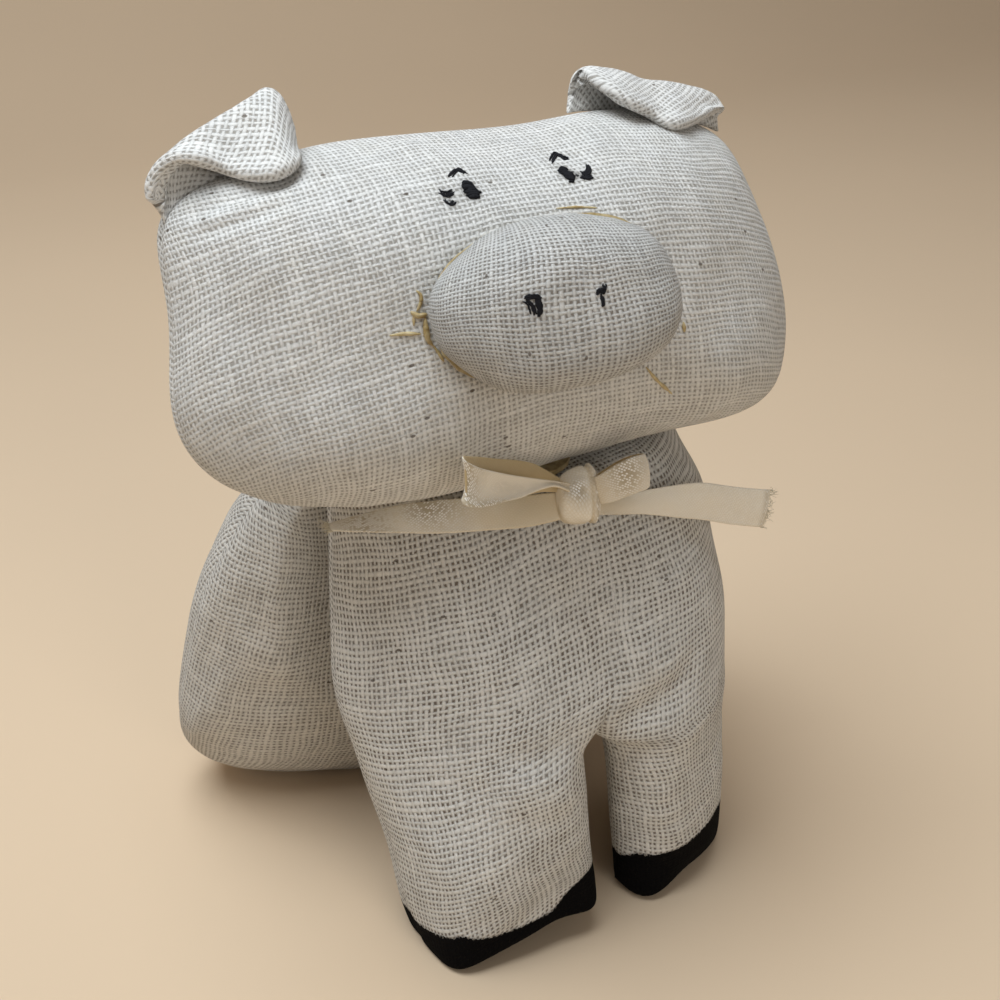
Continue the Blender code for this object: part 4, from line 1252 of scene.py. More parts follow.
@dataclass
class Front:
    """The chest and both front legs: one cushion with a slit between the legs."""

    weave: Weave
    trim: Trim
    creases: tuple
    paint_lines: dict
    slit: dict
    width: float = 0.0655
    depths: dict = field(default_factory=lambda: {Face.FRONT: 0.0192, Face.BACK: 0.0145})
    height: float = 0.0682
    power: float = 3.4
    dome: tuple = (2.6, 0.6)
    parting: float = 0.0035
    parting_low: float = -0.0010
    parting_reach: float = 0.020
    slit_fade: float = 0.004
    back_slope: float = 0.90
    least: float = 1e-6
    crotch_ahead: float = 0.0090
    leg_depth: float = 0.0105
    leg_taper: float = 0.08
    leg_dome: tuple = (2.8, 0.55)
    leg_square: float = 2.4
    leg_turn: dict = field(default_factory=lambda: {Side.RIGHT: 0.0, Side.LEFT: math.radians(30)})
    lean: float = math.radians(18)
    wrap: float = 0.0060
    tuck: float = 0.08
    shift: tuple = (0.0025, 0.0010)
    meeting: float = 0.0105
    neck_round: float = 0.0050
    pull_reach: float = 0.0030
    drift: float = 0.36
    drift_reach: float = 0.0060
    seam_depth: float = 0.0006
    seam_width: float = 0.0010
    gather: float = 0.0120
    sole_round: float = 0.0015
    puckers: tuple = (0.0022, 0.5, 91)
    swells: tuple = ((0.024, 0.00040, 31), (0.009, 0.00012, 41))
    back_cloth: float = 0.2
    columns: int = 37
    rows: tuple = (44, 34)
    fill: float = 0.8
    merge: float = 6e-6

    def lobe(self, share: Array, square: Array | float = 0.0) -> Array:
        """Fullness across one leg, from seam to seam, share from -1 to 1."""
        return domed(np.minimum(np.abs(share), 1), (self.leg_dome[0] + square, self.leg_dome[1]))

    def parting_at(self, height: Array) -> Array:
        """Where the line between the halves lies at a height above the crotch."""
        return self.parting + (self.parting_low - self.parting) * smooth_step(self.parting_reach, 0.0, height)

    def flat_place(self, side: Side, share: Array, parting: Array | float) -> Array:
        """A place across the cushion, from -1 to 1, from its share of the way out from the parting."""
        parting = parting / (self.width / 2)
        return parting + side.value * share * (1 - side.value * parting)

    def heights(self) -> Array:
        """The chest's rows, as heights above the crotch, from the neck down."""
        return self.height * np.sin(np.linspace(1, 0, self.rows[0]) * math.pi / 2)

    def flattened(self, full: Array, share: Array, half: Array, face: Face) -> Array:
        """Keeps the back from standing out steeply beside the slit.

        Args:
            full: The fullness, from 0 to 1.
            share: From 0 on the inner seam to 1 on the outer.
            half: Half the leg's width, in metres.
            face: Front or back.

        Returns:
            The fullness, less near the inner seam where it is the back's.
        """
        if face is Face.FRONT:
            return full
        limit = np.maximum(self.back_slope * share * 2 * half / self.depths[face], self.least)
        return (np.maximum(full, self.least) ** -4.0 + limit**-4.0) ** -0.25

    def chest(self, side: Side, share: Array, height: Array, face: Face) -> Array:
        """A place on the chest, before it leans.

        Args:
            side: Which half it is on.
            share: From 0 on the parting to 1 on the outer seam.
            height: Height above the crotch, in metres.
            face: Front or back.

        Returns:
            The points.
        """
        up = np.clip(height / self.height, 0, 1)
        narrow = (1 - up**self.power) ** (1 / self.power)
        flat = self.flat_place(side, share, self.parting_at(height))
        ring = np.minimum((np.abs(flat * narrow) ** self.power + up**self.power) ** (1 / self.power), 1)
        whole = domed(ring, self.dome)
        seam = smooth_step(0.75, 1.0, share)
        at_seam = domed(np.abs(flat), self.dome) * narrow
        whole = whole * (1 - seam) + np.minimum(whole, at_seam) * seam
        held = 1 - np.exp(-height / self.pull_reach)
        two = self.lobe(2 * share - 1)
        two = self.flattened(np.where(share > 0.5, 1.0, two), share, self.width / 4, face)
        full = whole * (1 - (1 - held) * (1 - two))
        across = flat * narrow * self.width / 2
        depth = face.value * self.depths[face] * full - self.crotch_ahead * (1 - held) * (1 - two)
        return np.stack([across, depth, CROTCH_HEIGHT + height], axis=-1)

    def leg(self, side: Side, share: Array, down: Array, face: Face) -> Array:
        """A place on a leg, before it leans.

        Args:
            side: Which leg it is on.
            share: From 0 on the inner seam to 1 on the outer.
            down: From 0 at the crotch to 1 at the sole.
            face: Front or back.

        Returns:
            The points.
        """
        knots = np.array(self.slit[side])
        inset = np.interp(down, knots[:, 0], knots[:, 1]) * MM
        outer = self.width / 2 - side.value * self.parting_low
        half = (outer - inset) / 2 * (1 - self.leg_taper * down)
        depth = self.depths[face] * (1 - down) + self.leg_depth * down
        flat = self.flat_place(side, share, self.parting_low)
        whole = domed(np.minimum(np.abs(flat), 1), self.dome)
        still = smooth_step(0.5, 0.0, down)
        lobe = self.lobe(2 * share - 1, self.leg_square * down)
        upper = whole * self.flattened(np.where(share > 0.5, 1.0, lobe), share, self.width / 4, face)
        lobe = self.flattened(lobe, share, half * (1 - 0.4 * down) * self.depths[face] / depth, face)
        full = upper * still + lobe * (1 - still)
        offset = full * depth * face.value
        offset = offset - self.crotch_ahead * (1 - down) * np.where(share < 0.5, 1 - lobe, 0)
        angle = self.leg_turn[side] * down
        from_inner = share * 2 * half
        turned_across = from_inner * np.cos(angle) - offset * np.sin(angle)
        turned_depth = from_inner * np.sin(angle) + offset * np.cos(angle)
        across = self.parting_low + side.value * (inset + turned_across)
        return np.stack([across, turned_depth, CROTCH_HEIGHT * (1 - down)], axis=-1)

    def stand(self, points: Array) -> Array:
        """Leans the front back, wraps it round, and presses it to its neighbours.

        Args:
            points: Points of the upright front.

        Returns:
            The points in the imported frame.
        """
        placed = points.copy()
        low = np.clip((NECK_HEIGHT - points[..., 2]) / (NECK_HEIGHT - CROTCH_HEIGHT), 0, 1)
        placed[..., 0] *= np.where(points[..., 0] > 0, 1 - self.tuck * low, 1)
        lean = np.minimum(points[..., 2] - NECK_HEIGHT, 0) * math.tan(self.lean)
        wrap = self.wrap * (points[..., 0] / (self.width / 2)) ** 2
        placed[..., 1] += lean + wrap + self.shift[1]
        placed[..., 0] += self.shift[0]
        placed = pressed(placed, (0, 0, NECK_HEIGHT + self.neck_round / 16), (0, 0, 1), self.neck_round)
        placed = pressed(placed, (0, self.meeting - CLOTH_GAP / 2, 0), (0, 1, 0))
        return placed + SHIFT

    def half(self, side: Side, face: Face) -> Patch:
        """The cloth of one half and one face, from the neck down to the sole's middle line.

        Args:
            side: Which half.
            face: Front or back.

        Returns:
            The cloth.
        """
        share = (1 + spread(self.columns)) / 2
        above = self.heights()
        down = np.linspace(0, 1 - self.sole_round / CROTCH_HEIGHT, self.rows[1] + 1)[1:]
        grid_share, grid_above = np.meshgrid(share, above)
        chest = self.chest(side, grid_share, grid_above, face)
        grid_share, grid_down = np.meshgrid(share, down)
        leg = self.leg(side, grid_share, grid_down, face)
        points = np.concatenate([chest, leg])
        shares = np.broadcast_to(share, points.shape[:2])
        away = smooth_step(0.0, 0.16, shares)[..., None]
        shared = unit(np.array([0, face.value, 0.25]))
        normals = unit(grid_normals(points, (0, face.value, 0)) * away + shared * (1 - away))
        wave = swell(points, self.swells, face.value)
        if face is Face.FRONT:
            for crease in self.creases:
                wave = wave + crease.rise(points[..., 0], points[..., 2])
        heights = np.concatenate([above, -down * CROTCH_HEIGHT])[:, None]
        inner = smooth_step(0.0, 0.10, shares)
        over_slit = np.maximum(inner, smooth_step(0.0, self.slit_fade, heights))
        free = smooth_step(1.0, 0.92, shares) * np.where(heights < 0, inner, over_slit)
        points = points + normals * (wave * free)[..., None]
        size, depth, seed = self.puckers
        groove = self.seam_depth * (1 + depth * ripple(points[..., 2:], size, seed, 1))
        rim = arc_length(points[:, ::-1])[:, ::-1]
        below = smooth_step(0.0, -self.slit_fade, heights)
        below = below * smooth_step(-CROTCH_HEIGHT, -0.9 * CROTCH_HEIGHT, heights)
        points[..., 0] -= side.value * groove * bell(rim, self.seam_width)
        points[..., 0] += side.value * groove * bell(arc_length(points), self.seam_width) * below
        placed = self.stand(points)
        sole = self.sole(placed[-1], self.stand(self.leg(side, share, np.ones(len(share)), face)))
        placed = np.concatenate([placed, sole])
        cloth = self.on_cloth(placed, side, face)
        knots = np.array(self.paint_lines[side, face])
        paint = placed[..., 2] / MM - np.interp(share, knots[:, 0], knots[:, 1])
        placed = self.trim.apply(placed)
        return Patch(placed, cloth, flipped=(side is Side.LEFT) == (face is Face.FRONT), paint=paint)

    def sole(self, last: Array, edge: Array) -> Array:
        """Rows that round a leg's end under and close it on its middle line.

        Args:
            last: The leg's last row.
            edge: Where the row would end on the ground.

        Returns:
            The rows.
        """
        middle = np.linspace(edge[0], edge[-1], len(edge))
        inward = middle - edge
        reach = np.maximum(np.linalg.norm(inward[:, :2], axis=-1), TINY)[:, None]
        rows = []
        for angle in np.radians([30, 60, 90]):
            inset = np.minimum(self.sole_round * (1 - math.cos(angle)) / reach, 1)
            row = last + inward * inset
            row[:, 2] = self.sole_round * (1 - math.sin(angle))
            rows.append(row)
        for share in (0.35, 0.7, 1.0):
            row = rows[2] + (middle - rows[2]) * share
            row[:, 2] = 0
            rows.append(row)
        return np.stack(rows)

    def on_cloth(self, placed: Array, side: Side, face: Face) -> Array:
        """Each point's place on the flat cloth, the same up and down for both halves.

        Args:
            placed: The points, from the neck down.
            side: Which half.
            face: Front or back.

        Returns:
            The places, in metres.
        """
        across = arc_length(placed)
        middle = self.columns // 2
        anchor = np.searchsorted(-placed[: self.rows[0], middle, 2], -(CROTCH_HEIGHT + self.gather))
        across[anchor:] += across[anchor, middle] - across[anchor:, middle, None]
        across[:anchor] += (placed[:anchor, 0, 0] - placed[0, 0, 0])[:, None] * side.value
        across[anchor:] += (placed[anchor, 0, 0] - placed[0, 0, 0]) * side.value
        steps = np.diff(arc_length(placed[:, middle]), prepend=0)
        shared = self.stand(self.chest(Side.RIGHT, np.full(self.rows[0], 0.5), self.heights(), face))
        steps[: self.rows[0]] = np.diff(arc_length(shared), prepend=0)
        up = np.broadcast_to(np.cumsum(steps)[:, None], across.shape)
        shift = 0.0 if face is Face.FRONT else self.back_cloth
        flat = across * side.value
        pulled = (np.sqrt(flat**2 + self.drift_reach**2) - flat) / 2
        return np.stack([flat + shift, self.drift * pulled - up], axis=-1)

    def build(self) -> Piece:
        """Builds the front cushion.

        Returns:
            The piece.
        """
        patches = [self.half(side, face) for side in Side for face in Face]
        nodes = ["chest_front_panel", "chest_back_panel", "chest_filling", "hoof_right", "hoof_left"]
        for side in ("right", "left"):
            nodes += [f"leg_{side}_{part}" for part in ("front_panel", "back_panel", "filling")]
        piece = make_piece("front_cushion", patches, self.weave, Slot.CLOTH, "body", nodes, self.merge)
        return piece


# ---- the rump


@dataclass
class Rump:
    """The wide cushion behind, which leans the other way and rests on the ground."""

    weave: Weave
    trim: Trim
    width: float = 0.0890
    depths: dict = field(default_factory=lambda: {Face.FRONT: 0.0190, Face.BACK: 0.0210})
    lean: float = math.radians(15)
    shift: tuple = (-0.0050, 0.0256)
    top_pressed: float = 0.0025
    foot_pressed: float = 0.0055
    taper: float = 0.12
    power: float = 2.5
    dome: tuple = (2.5, 0.6)
    meeting: float = 0.0105
    swells: tuple = ((0.030, 0.0006, 51), (0.012, 0.00015, 61))
    seam_depth: float = 0.0006
    seam_width: float = 0.0011
    cloth_at: float = 0.5
    cloth_apart: float = 0.2
    grid: tuple = (73, 73)
    fill: float = 0.75

    def panel(self, face: Face) -> Patch:
        """One panel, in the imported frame.

        Args:
            face: Which panel.

        Returns:
            The panel.
        """
        top = NECK_HEIGHT + self.top_pressed
        height = (top + self.foot_pressed) / math.cos(self.lean)
        across, up, ring = round_grid(self.grid, self.power)
        depth = domed(ring, self.dome) * self.depths[face]
        points = np.stack([across * self.width / 2, face.value * depth, up * height / 2], axis=-1)
        wave = swell(points, self.swells, face.value) * smooth_step(1.0, 0.92, ring)
        points = points + grid_normals(points, (0, face.value, 0)) * wave[..., None]
        groove = self.seam_depth * bell(depth, self.seam_width) * (ring > 0.8)
        points = points - unit(points * np.array([1, 0, 1])) * groove[..., None]
        row_across, row_up = arc_length(points), arc_length(np.swapaxes(points, 0, 1)).T
        flat_across = row_across - row_across[:, [self.grid[0] // 2]]
        flat_up = row_up - row_up[[self.grid[1] // 2]]
        cloth = np.stack([flat_across + self.cloth_at + self.cloth_apart * face.value, flat_up], axis=-1)
        points[..., 0] *= 1 - self.taper * points[..., 2] / (height / 2)
        centre = np.array([self.shift[0], self.shift[1], (top - self.foot_pressed) / 2])
        placed = turned(points, self.lean, 0) + centre
        placed = pressed(placed, (0, 0, 0), (0, 0, -1))
        placed = pressed(placed, (0, 0, NECK_HEIGHT), (0, 0, 1))
        placed = pressed(placed, (0, self.meeting + CLOTH_GAP / 2, 0), (0, -1, 0)) + SHIFT
        return Patch(self.trim.apply(placed), cloth, flipped=face is Face.BACK)

    def build(self) -> Piece:
        """Builds the rear cushion.

        Returns:
            The piece.
        """
        patches = [self.panel(face) for face in Face]
        nodes = ("rump_front_panel", "rump_back_panel", "rump_filling")
        piece = make_piece("rump_cushion", patches, self.weave, Slot.CLOTH, "body", nodes)
        return piece


# ---- the ears


@dataclass
class Ear:
    """A doubled flap of cloth that stands on the head's top seam and is folded forward."""

    side: Side
    head: Head
    weave: Weave
    root: tuple
    fold: tuple
    rim: tuple
    half: float = 0.00065
    hem: float = 0.00120
    hem_width: float = 0.0034
    sink: float = 0.0006
    swells: tuple = ((0.010, 0.00022, 71),)
    merge: float = 4e-6
    columns: int = 61
    rows: tuple = (16, 24)
    flat: tuple = (0.0185, 0.0205)

    def middle(self) -> Array:
        """The surface halfway through the flap, in the head's own frame.

        Returns:
            Its points.
        """
        places = (1 + spread(self.columns)) / 2
        root, fold, rim = (curve(line, self.columns, places) for line in (self.root, self.fold, self.rim))
        root[:, 2] -= self.sink
        fold[:, 2] -= self.half
        rise = np.linalg.norm(fold - root, axis=-1)[:, None]
        fall = np.linalg.norm(rim - fold, axis=-1)[:, None]
        ahead, upwards = np.array([0, -1.0, 0]), np.array([0, 0.25, 1.0])
        down = np.array([0, -0.35, -1.0])
        front = [
            blend_curve(root, rise * upwards, fold, rise * ahead * 0.5, share)
            for share in np.linspace(0, 1, self.rows[0])[:-1]
        ]
        back = [
            blend_curve(fold, fall * ahead * 0.5, rim, fall * down * 0.7, share)
            for share in np.sin(np.linspace(0, math.pi / 2, self.rows[1]))
        ]
        return np.stack(front + back)

    def unrolled(self, middle: Array) -> Array:
        """Lays the flap flat, its threads running at 45 degrees to the fold.

        Args:
            middle: The surface halfway through the flap.

        Returns:
            Each point's place on the flat cloth, in metres.
        """
        at_fold = middle[self.rows[0] - 1]
        line = unit(at_fold[-1] - at_fold[0])
        run = np.concatenate([[0.0], np.cumsum(np.linalg.norm(np.diff(at_fold, axis=0), axis=-1))])
        across = run - run[-1] / 2 + (middle - at_fold) @ line
        steps = np.diff(middle, axis=0)
        steps = np.linalg.norm(steps - (steps @ line)[..., None] * line, axis=-1)
        along = np.concatenate([np.zeros((1, self.columns)), np.cumsum(steps, axis=0)])
        along = along - along[self.rows[0] - 1]
        return np.stack([across - along, across + along], axis=-1) * math.sqrt(0.5)

    def build(self) -> Piece:
        """Builds the ear.

        Returns:
            The piece.
        """
        middle = self.middle()
        wave = swell(middle, self.swells, self.side.value)
        middle = middle + grid_normals(middle, (0, 0, 1)) * wave[..., None]
        patches = leaf(middle, self.half, self.hem, self.hem_width, self.unrolled(middle))
        for patch in patches:
            patch.points = self.head.trim.apply(self.head.place(patch.points))
        label = f"ear_{self.side.name.lower()}"
        piece = make_piece(f"{label}_flap", patches, self.weave, Slot.CLOTH, label, (label,), self.merge)
        return piece


# ---- stitches and glue


class Skin:
    """The finished outside of a piece, to lay thread and glue on."""

    def __init__(self, piece: Piece, at: Surface) -> None:
        """Reads the piece's smoothed form.

        Args:
            piece: The piece.
            at: Gives the rough place on it for flat coordinates.
        """
        self.at = at
        bpy.context.view_layer.update()
        ready = piece.evaluated_get(bpy.context.evaluated_depsgraph_get())
        mesh = ready.to_mesh()
        corners = [ready.matrix_world @ point.co for point in mesh.vertices]
        faces = [tuple(face.vertices) for face in mesh.polygons]
        self.tree = BVHTree.FromPolygons(corners, faces)
        ready.to_mesh_clear()

    def lay(self, places: Array, reach: float = 0.004) -> tuple[Array, Array]:
        """Puts places on the piece's outside.

        Args:
            places: The places, as (across, up).
            reach: How far from its rough place the outside may lie.

        Returns:
            The points, and the way out at each.
        """
        points, normals = with_normals(self.at, places)
        laid = []
        for point, normal in zip(points, normals):
            spot = self.tree.ray_cast(Vector(point + normal * reach), Vector(-normal), 2 * reach)[0]
            laid.append(point if spot is None else np.array(spot))
        return np.array(laid), normals


@dataclass
class Stitches:
    """Strands of black thread sewn flat on the cloth, one bundle for each packed mark."""

    face: Skin
    pad: Skin
    yarn: Yarn
    strand: float = 0.00021
    strands: int = 6
    scatter: float = 0.00015
    shake: float = 0.00010
    shake_size: float = 0.0008
    arch: float = 0.00004

    def bundle(self, node: str, lines: tuple, on_nose: bool, fat: float) -> Piece:
        """Sews one mark.

        Args:
            node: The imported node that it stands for.
            lines: Strokes, each a row of places on the face in millimetres.
            on_nose: Whether they are on the nose and not on the head.
            fat: How much thicker than usual the strands are.

        Returns:
            The piece.
        """
        chance = np.random.default_rng(sum(map(ord, node)))
        carrier = (self.pad if on_nose else self.face).lay
        patches = []
        for line in lines:
            for _ in range(self.strands):
                places = curve(line, 6 + 5 * len(line))[:, :2]
                places = places + chance.normal(0, self.scatter, 2)
                shake = ripple(places, self.shake_size, int(chance.integers(1000)), 2) * self.shake
                places = places + shake[:, None]
                share = np.linspace(-1, 1, len(places))
                radii = self.strand * fat * (1 - 0.45 * share**4) * chance.uniform(0.8, 1.15)
                points, normals = carrier(places)
                points = points + normals * (radii / 4 + self.arch * (1 - share**2))[:, None]
                patches.append(tube(points, radii, 6))
        name = f"{node}_stitches"
        return make_piece(name, patches, self.yarn, Slot.THREAD, "head", (node,), THREAD_MERGE)


@dataclass
class GlueBits:
    """Strings and drops of dried glue on the face round the nose."""

    face: Skin
    glue: Glue
    lift: float = 0.35
    lump: float = 0.35
    lump_size: float = 0.0022

    def build(self) -> Piece:
        """Builds all of the face's glue as one piece.

        Returns:
            The piece.
        """
        chance = np.random.default_rng(8)
        patches = []
        for line, thick in GLUE_LINES:
            places = curve(line, 7 * len(line))[:, :2]
            points, normals = self.face.lay(places)
            share = np.linspace(-1, 1, len(places))
            lumps = 1 + self.lump * ripple(places, self.lump_size, int(chance.integers(1000)))
            radii = thick * MM / 2 * (0.85 - 0.6 * np.abs(share) ** 3) * lumps
            points = points + normals * (radii * self.lift)[:, None]
            patches.append(tube(points, radii, 8))
        return make_piece("glue_strings", patches, self.glue, Slot.GLUE, "head", merge=THREAD_MERGE)


# ---- the bow


@dataclass
class Bow:
    """The satin bow: a knot, two loops and two loose tails with frayed ends."""

    satin: Satin
    fray: Yarn
    middle: tuple = (0.0051, -0.0271, 0.0774)
    knot: tuple = (0.0064, 0.0048, 0.0086)
    knot_off: tuple = (-0.0008, 0.0, -0.0004)
    half: float = 0.00016
    edge: float = 0.00024
    edge_width: float = 0.0009
    swells: tuple = (0.007, 0.00018)
    bulges: tuple = (0.00035, 0.0003)
    seeds: tuple = (81, 87)
    # How strongly the loops' inner sides get painted golden shade
    inner_golden_shade: float = 0.85
    threads: int = 90
    thread_long: float = 0.0016
    thread_thin: float = 0.00003
    thread_thick: float = 0.00006
    thread_spread: float = 0.00025
    thread_back: float = 0.0003
    fold: float = 0.00035
    rim: float = 0.00035
    rim_at: float = 0.62
    hollow: float = 0.00028
    hollow_at: float = 0.42
    knot_round: float = 0.0030
    columns: int = 96
    rows: int = 21

    def band(self, upper: tuple, lower: tuple, bulge: float, seed: int) -> Patch:
        """The middle surface of a length of ribbon between its two edges.

        Args:
            upper: Places along one edge, from the knot's middle, in millimetres.
            lower: Places along the other.
            bulge: How far its middle stands out from a straight line, in metres.
            seed: Picks its small waves.

        Returns:
            The surface, with its place on the flat ribbon.
        """
        first, second = curve(upper, self.columns), curve(lower, self.columns)
        share = (1 - spread(self.rows)) / 2
        grid = first[None] * share[:, None, None] + second[None] * (1 - share)[:, None, None]
        normals = grid_normals(grid, (0, -1, 0))
        wave = ripple(grid, self.swells[0], seed, 2) * self.swells[1]
        full = 4 * share * (1 - share)
        grid = grid + normals * (wave + bulge * full[:, None])[..., None]
        length = np.broadcast_to(arc_length(grid)[self.rows // 2], grid.shape[:2])
        width = np.broadcast_to(share[:, None] * RIBBON_WIDTH, grid.shape[:2])
        return Patch(grid + np.array(self.middle), np.stack([width, length], axis=-1))

    def spots(self, shape: tuple, spots: tuple) -> Array:
        """Soft spots on a length of ribbon.

        Args:
            shape: Its grid's rows and columns.
            spots: Each where it lies along and across, from 0 to 1, how far it reaches both
                ways, and how strong it is.

        Returns:
            The strongest spot's strength at each point.
        """
        across, along = np.meshgrid(np.linspace(0, 1, shape[0]), np.linspace(0, 1, shape[1]), indexing="ij")
        found = np.zeros(shape)
        for at_along, at_across, reach_along, reach_across, strength in spots:
            spot = bell(along - at_along, reach_along) * bell(across - at_across, reach_across)
            found = np.maximum(found, strength * spot)
        return found

    def ribbon(self, label: str, band: Patch, node: str, body: str) -> Piece:
        """Makes a band of ribbon a piece.

        Args:
            label: The piece's name.
            band: Its middle surface.
            node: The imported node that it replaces.
            body: The body that it rides on.

        Returns:
            The piece.
        """
        patches = leaf(band.points, self.half, self.edge, self.edge_width, band.cloth)
        shape = band.points.shape[:2]
        # Where painted highlights and painted golden shade go on this length of ribbon
        painted_glints, golden_shades = (self.spots(shape, table.get(label, ())) for table in (SATIN_PAINTED_GLINTS, SATIN_GOLDEN_SHADES))
        middle = band.points.reshape(-1, 3).mean(axis=0)
        for patch in patches:
            inside = ((patch.points - band.points) * (middle - band.points)).sum() > 0
            inner = inside and label.startswith("loop")
            # A loop's inner side gets painted golden shade all over and no painted highlights
            golden_shade = np.full(shape, self.inner_golden_shade) if inner else golden_shades
            patch.paint = np.stack([painted_glints * (not inner), golden_shade], axis=-1)
        return make_piece(label, patches, self.satin, Slot.SATIN, body, (node,), RIBBON_MERGE)

    def frayed(self, label: str, band: Patch, body: str) -> Piece:
        """Loose threads at the cut end of a tail.

        Args:
            label: The piece's name.
            band: The tail's middle surface.
            body: The body that it rides on.

        Returns:
            The piece.
        """
        chance = np.random.default_rng(sum(map(ord, label)))
        end, before = band.points[:, -1], band.points[:, -6]
        away = unit(end - before)
        side = unit(end[0] - end[-1])
        patches = []
        for _ in range(self.threads):
            row = int(chance.integers(1, self.rows - 1))
            place = end[row] + side * chance.normal(0, self.thread_spread) - away[row] * self.thread_back
            length = self.thread_long * chance.uniform(0.35, 1.0) ** 1.5
            bend = side * chance.normal(0, 0.45) + unit(chance.normal(size=3)) * 0.4
            share = np.linspace(0, 1, 6)[:, None]
            path = place + away[row] * length * share + bend * length * share**2
            thick = chance.uniform(self.thread_thin, self.thread_thick)
            patches.append(tube(path, np.linspace(1, 0.6, 6) * thick, 4))
        return make_piece(label, patches, self.fray, Slot.THREAD, body, merge=THREAD_MERGE)

    def tie(self) -> Piece:
        """Builds the knot: a barrel of ribbon wrapped round the middle, with slanting folds.

        Returns:
            The piece.
        """
        across, turn = np.meshgrid(spread(49), np.linspace(0, 2 * math.pi, 97))
        round_off = (1 - np.abs(across) ** 3.2) ** (1 / 3.2)
        wide, deep, tall = (size / 2 for size in self.knot)
        slant = turn + across * 0.55
        folds = np.maximum(np.cos(slant * 3.0 + 0.5), -0.3) * self.fold
        folds = folds + self.rim * bell(across - self.rim_at, 0.10)
        folds = folds - self.hollow * bell(across - self.hollow_at, 0.10)
        size = round_off * (1 + 0.12 * across)
        depth = -np.sign(np.cos(turn)) * np.abs(np.cos(turn)) ** 0.8 * deep * size * (1 + folds / deep)
        rise = np.sign(np.sin(turn)) * np.abs(np.sin(turn)) ** 0.85 * tall * size * (1 + folds / tall)
        points = np.stack([across * wide, depth, rise], axis=-1)
        points = points + np.array(self.middle) + np.array(self.knot_off)
        cloth = np.stack([across * wide + RIBBON_WIDTH / 2, turn * self.knot_round], axis=-1)
        facing = np.minimum(turn, 2 * math.pi - turn) * np.where(turn > math.pi, -1, 1)
        # Painted highlights on the knot's upper left and along its rim
        painted_glint = bell(across + 0.30, 0.50) * bell(facing - 0.60, 0.60)
        painted_rim_glint = bell(across - self.rim_at, 0.07) * bell(facing, 1.0)
        # Painted golden shade on the knot's lower side and in its hollow
        golden_shade = 0.55 * bell(facing + 1.2, 0.5) + 0.5 * bell(across - self.hollow_at, 0.08)
        paint = np.stack([np.maximum(painted_glint, painted_rim_glint), np.minimum(golden_shade, 1)], axis=-1)
        patches = [Patch(points, cloth, paint=paint)]
        return make_piece("knot_wrap", patches, self.satin, Slot.SATIN, "body", ("bow_knot",), RIBBON_MERGE)

    def build(self) -> list[Piece]:
        """Builds every part of the bow.

        Returns:
            The pieces.
        """
        pieces = [self.tie()]
        for side in ("right", "left"):
            loop, tail = f"loop_{side}", f"tail_{side}"
            band = self.band(*BOW_EDGES[loop], self.bulges[0], self.seeds[0])
            pieces.append(self.ribbon(f"{loop}_band", band, f"bow_{loop}", "body"))
            band = self.band(*BOW_EDGES[tail], self.bulges[1], self.seeds[1])
            pieces.append(self.ribbon(f"{tail}_band", band, f"bow_{tail}", tail))
            pieces.append(self.frayed(f"{tail}_fray", band, tail))
        return pieces


# ---- fitted outlines

# Each ear's root, fold and rim, in the head's own frame
EAR_LINES = {
    Side.RIGHT: (
        ((-27.6, 0, 25.8), (-28.4, 0, 26.2), (-30.1, 0, 25.8), (-32.8, 0, 25.2), (-35.6, 0, 24.1),
         (-37.7, 0, 23.1), (-39.6, 0, 22.1), (-41.2, 0, 21.2), (-42.5, 0, 20), (-43.7, 0, 18.6),
         (-44.5, 0, 17.6)),
        ((-28.3, -1, 28.4), (-28.9, -1, 31.4), (-29.9, -1.2, 33.1), (-31.2, -1.4, 33.6),
         (-33.6, -1.5, 32.9), (-36.6, -1.5, 31.8), (-39.5, -1.5, 30.5), (-42, -1.4, 28.6),
         (-43.7, -1.2, 26.4), (-44.8, -0.9, 24), (-45.2, -0.6, 20.4)),
        ((-29.7, -6.8, 24.3), (-31.1, -9.2, 23), (-32.6, -9.5, 22.4), (-34.8, -8.8, 22.2),
         (-36.7, -7.1, 22.5), (-38.2, -5.2, 23.2), (-39.8, -4.6, 24.1), (-42, -4.6, 25),
         (-43.5, -3.6, 25.2), (-44.6, -2.2, 23.5), (-45.1, -1, 20.2)),
    ),
    Side.LEFT: (
        ((16.5, 0, 26.9), (17.6, 0, 26.9), (19.4, 0, 26.7), (22.3, 0, 26.4), (26, 0, 25.9), (29.9, 0, 25.6),
         (33.8, 0, 25), (37.7, 0, 24.1), (40.5, 0, 23.1), (42.8, 0, 22.1), (44.5, 0, 21.1)),
        ((17.7, -0.6, 30), (18.2, -1, 31.5), (19.8, -1.4, 32.1), (22.4, -1.8, 31.8), (25.8, -2, 31),
         (29.5, -2, 29.8), (33.3, -2, 29.3), (37.7, -1.8, 28.5), (41.2, -1.4, 27.4), (43.4, -1, 25.8),
         (44.3, -0.5, 23.7)),
        ((18.1, -2.4, 30.7), (18.9, -4, 30.2), (19.4, -6, 28.8), (20.6, -8, 27.4), (23.1, -9, 25.7),
         (26.9, -9, 24.3), (28.2, -9.7, 23), (30.6, -10.1, 22.2), (35.8, -6.9, 22.5), (40.7, -3.6, 23.2),
         (43.5, -1.8, 23.6)),
    ),
}

# Where the black thread has stained the face
HEAD_STAINS = (
    ((-8.85, 18.2), (-8.7, 17.2), 0.98),
    ((-12.9, 17.8), (-11.8, 17.7), 0.32),
    ((-12.5, 16.5), (-12, 16.4), 0.36),
    ((6.5, 18.5), (6.8, 17.9), 0.88),
    ((9.1, 17.6), (9.8, 17.3), 0.46),
)

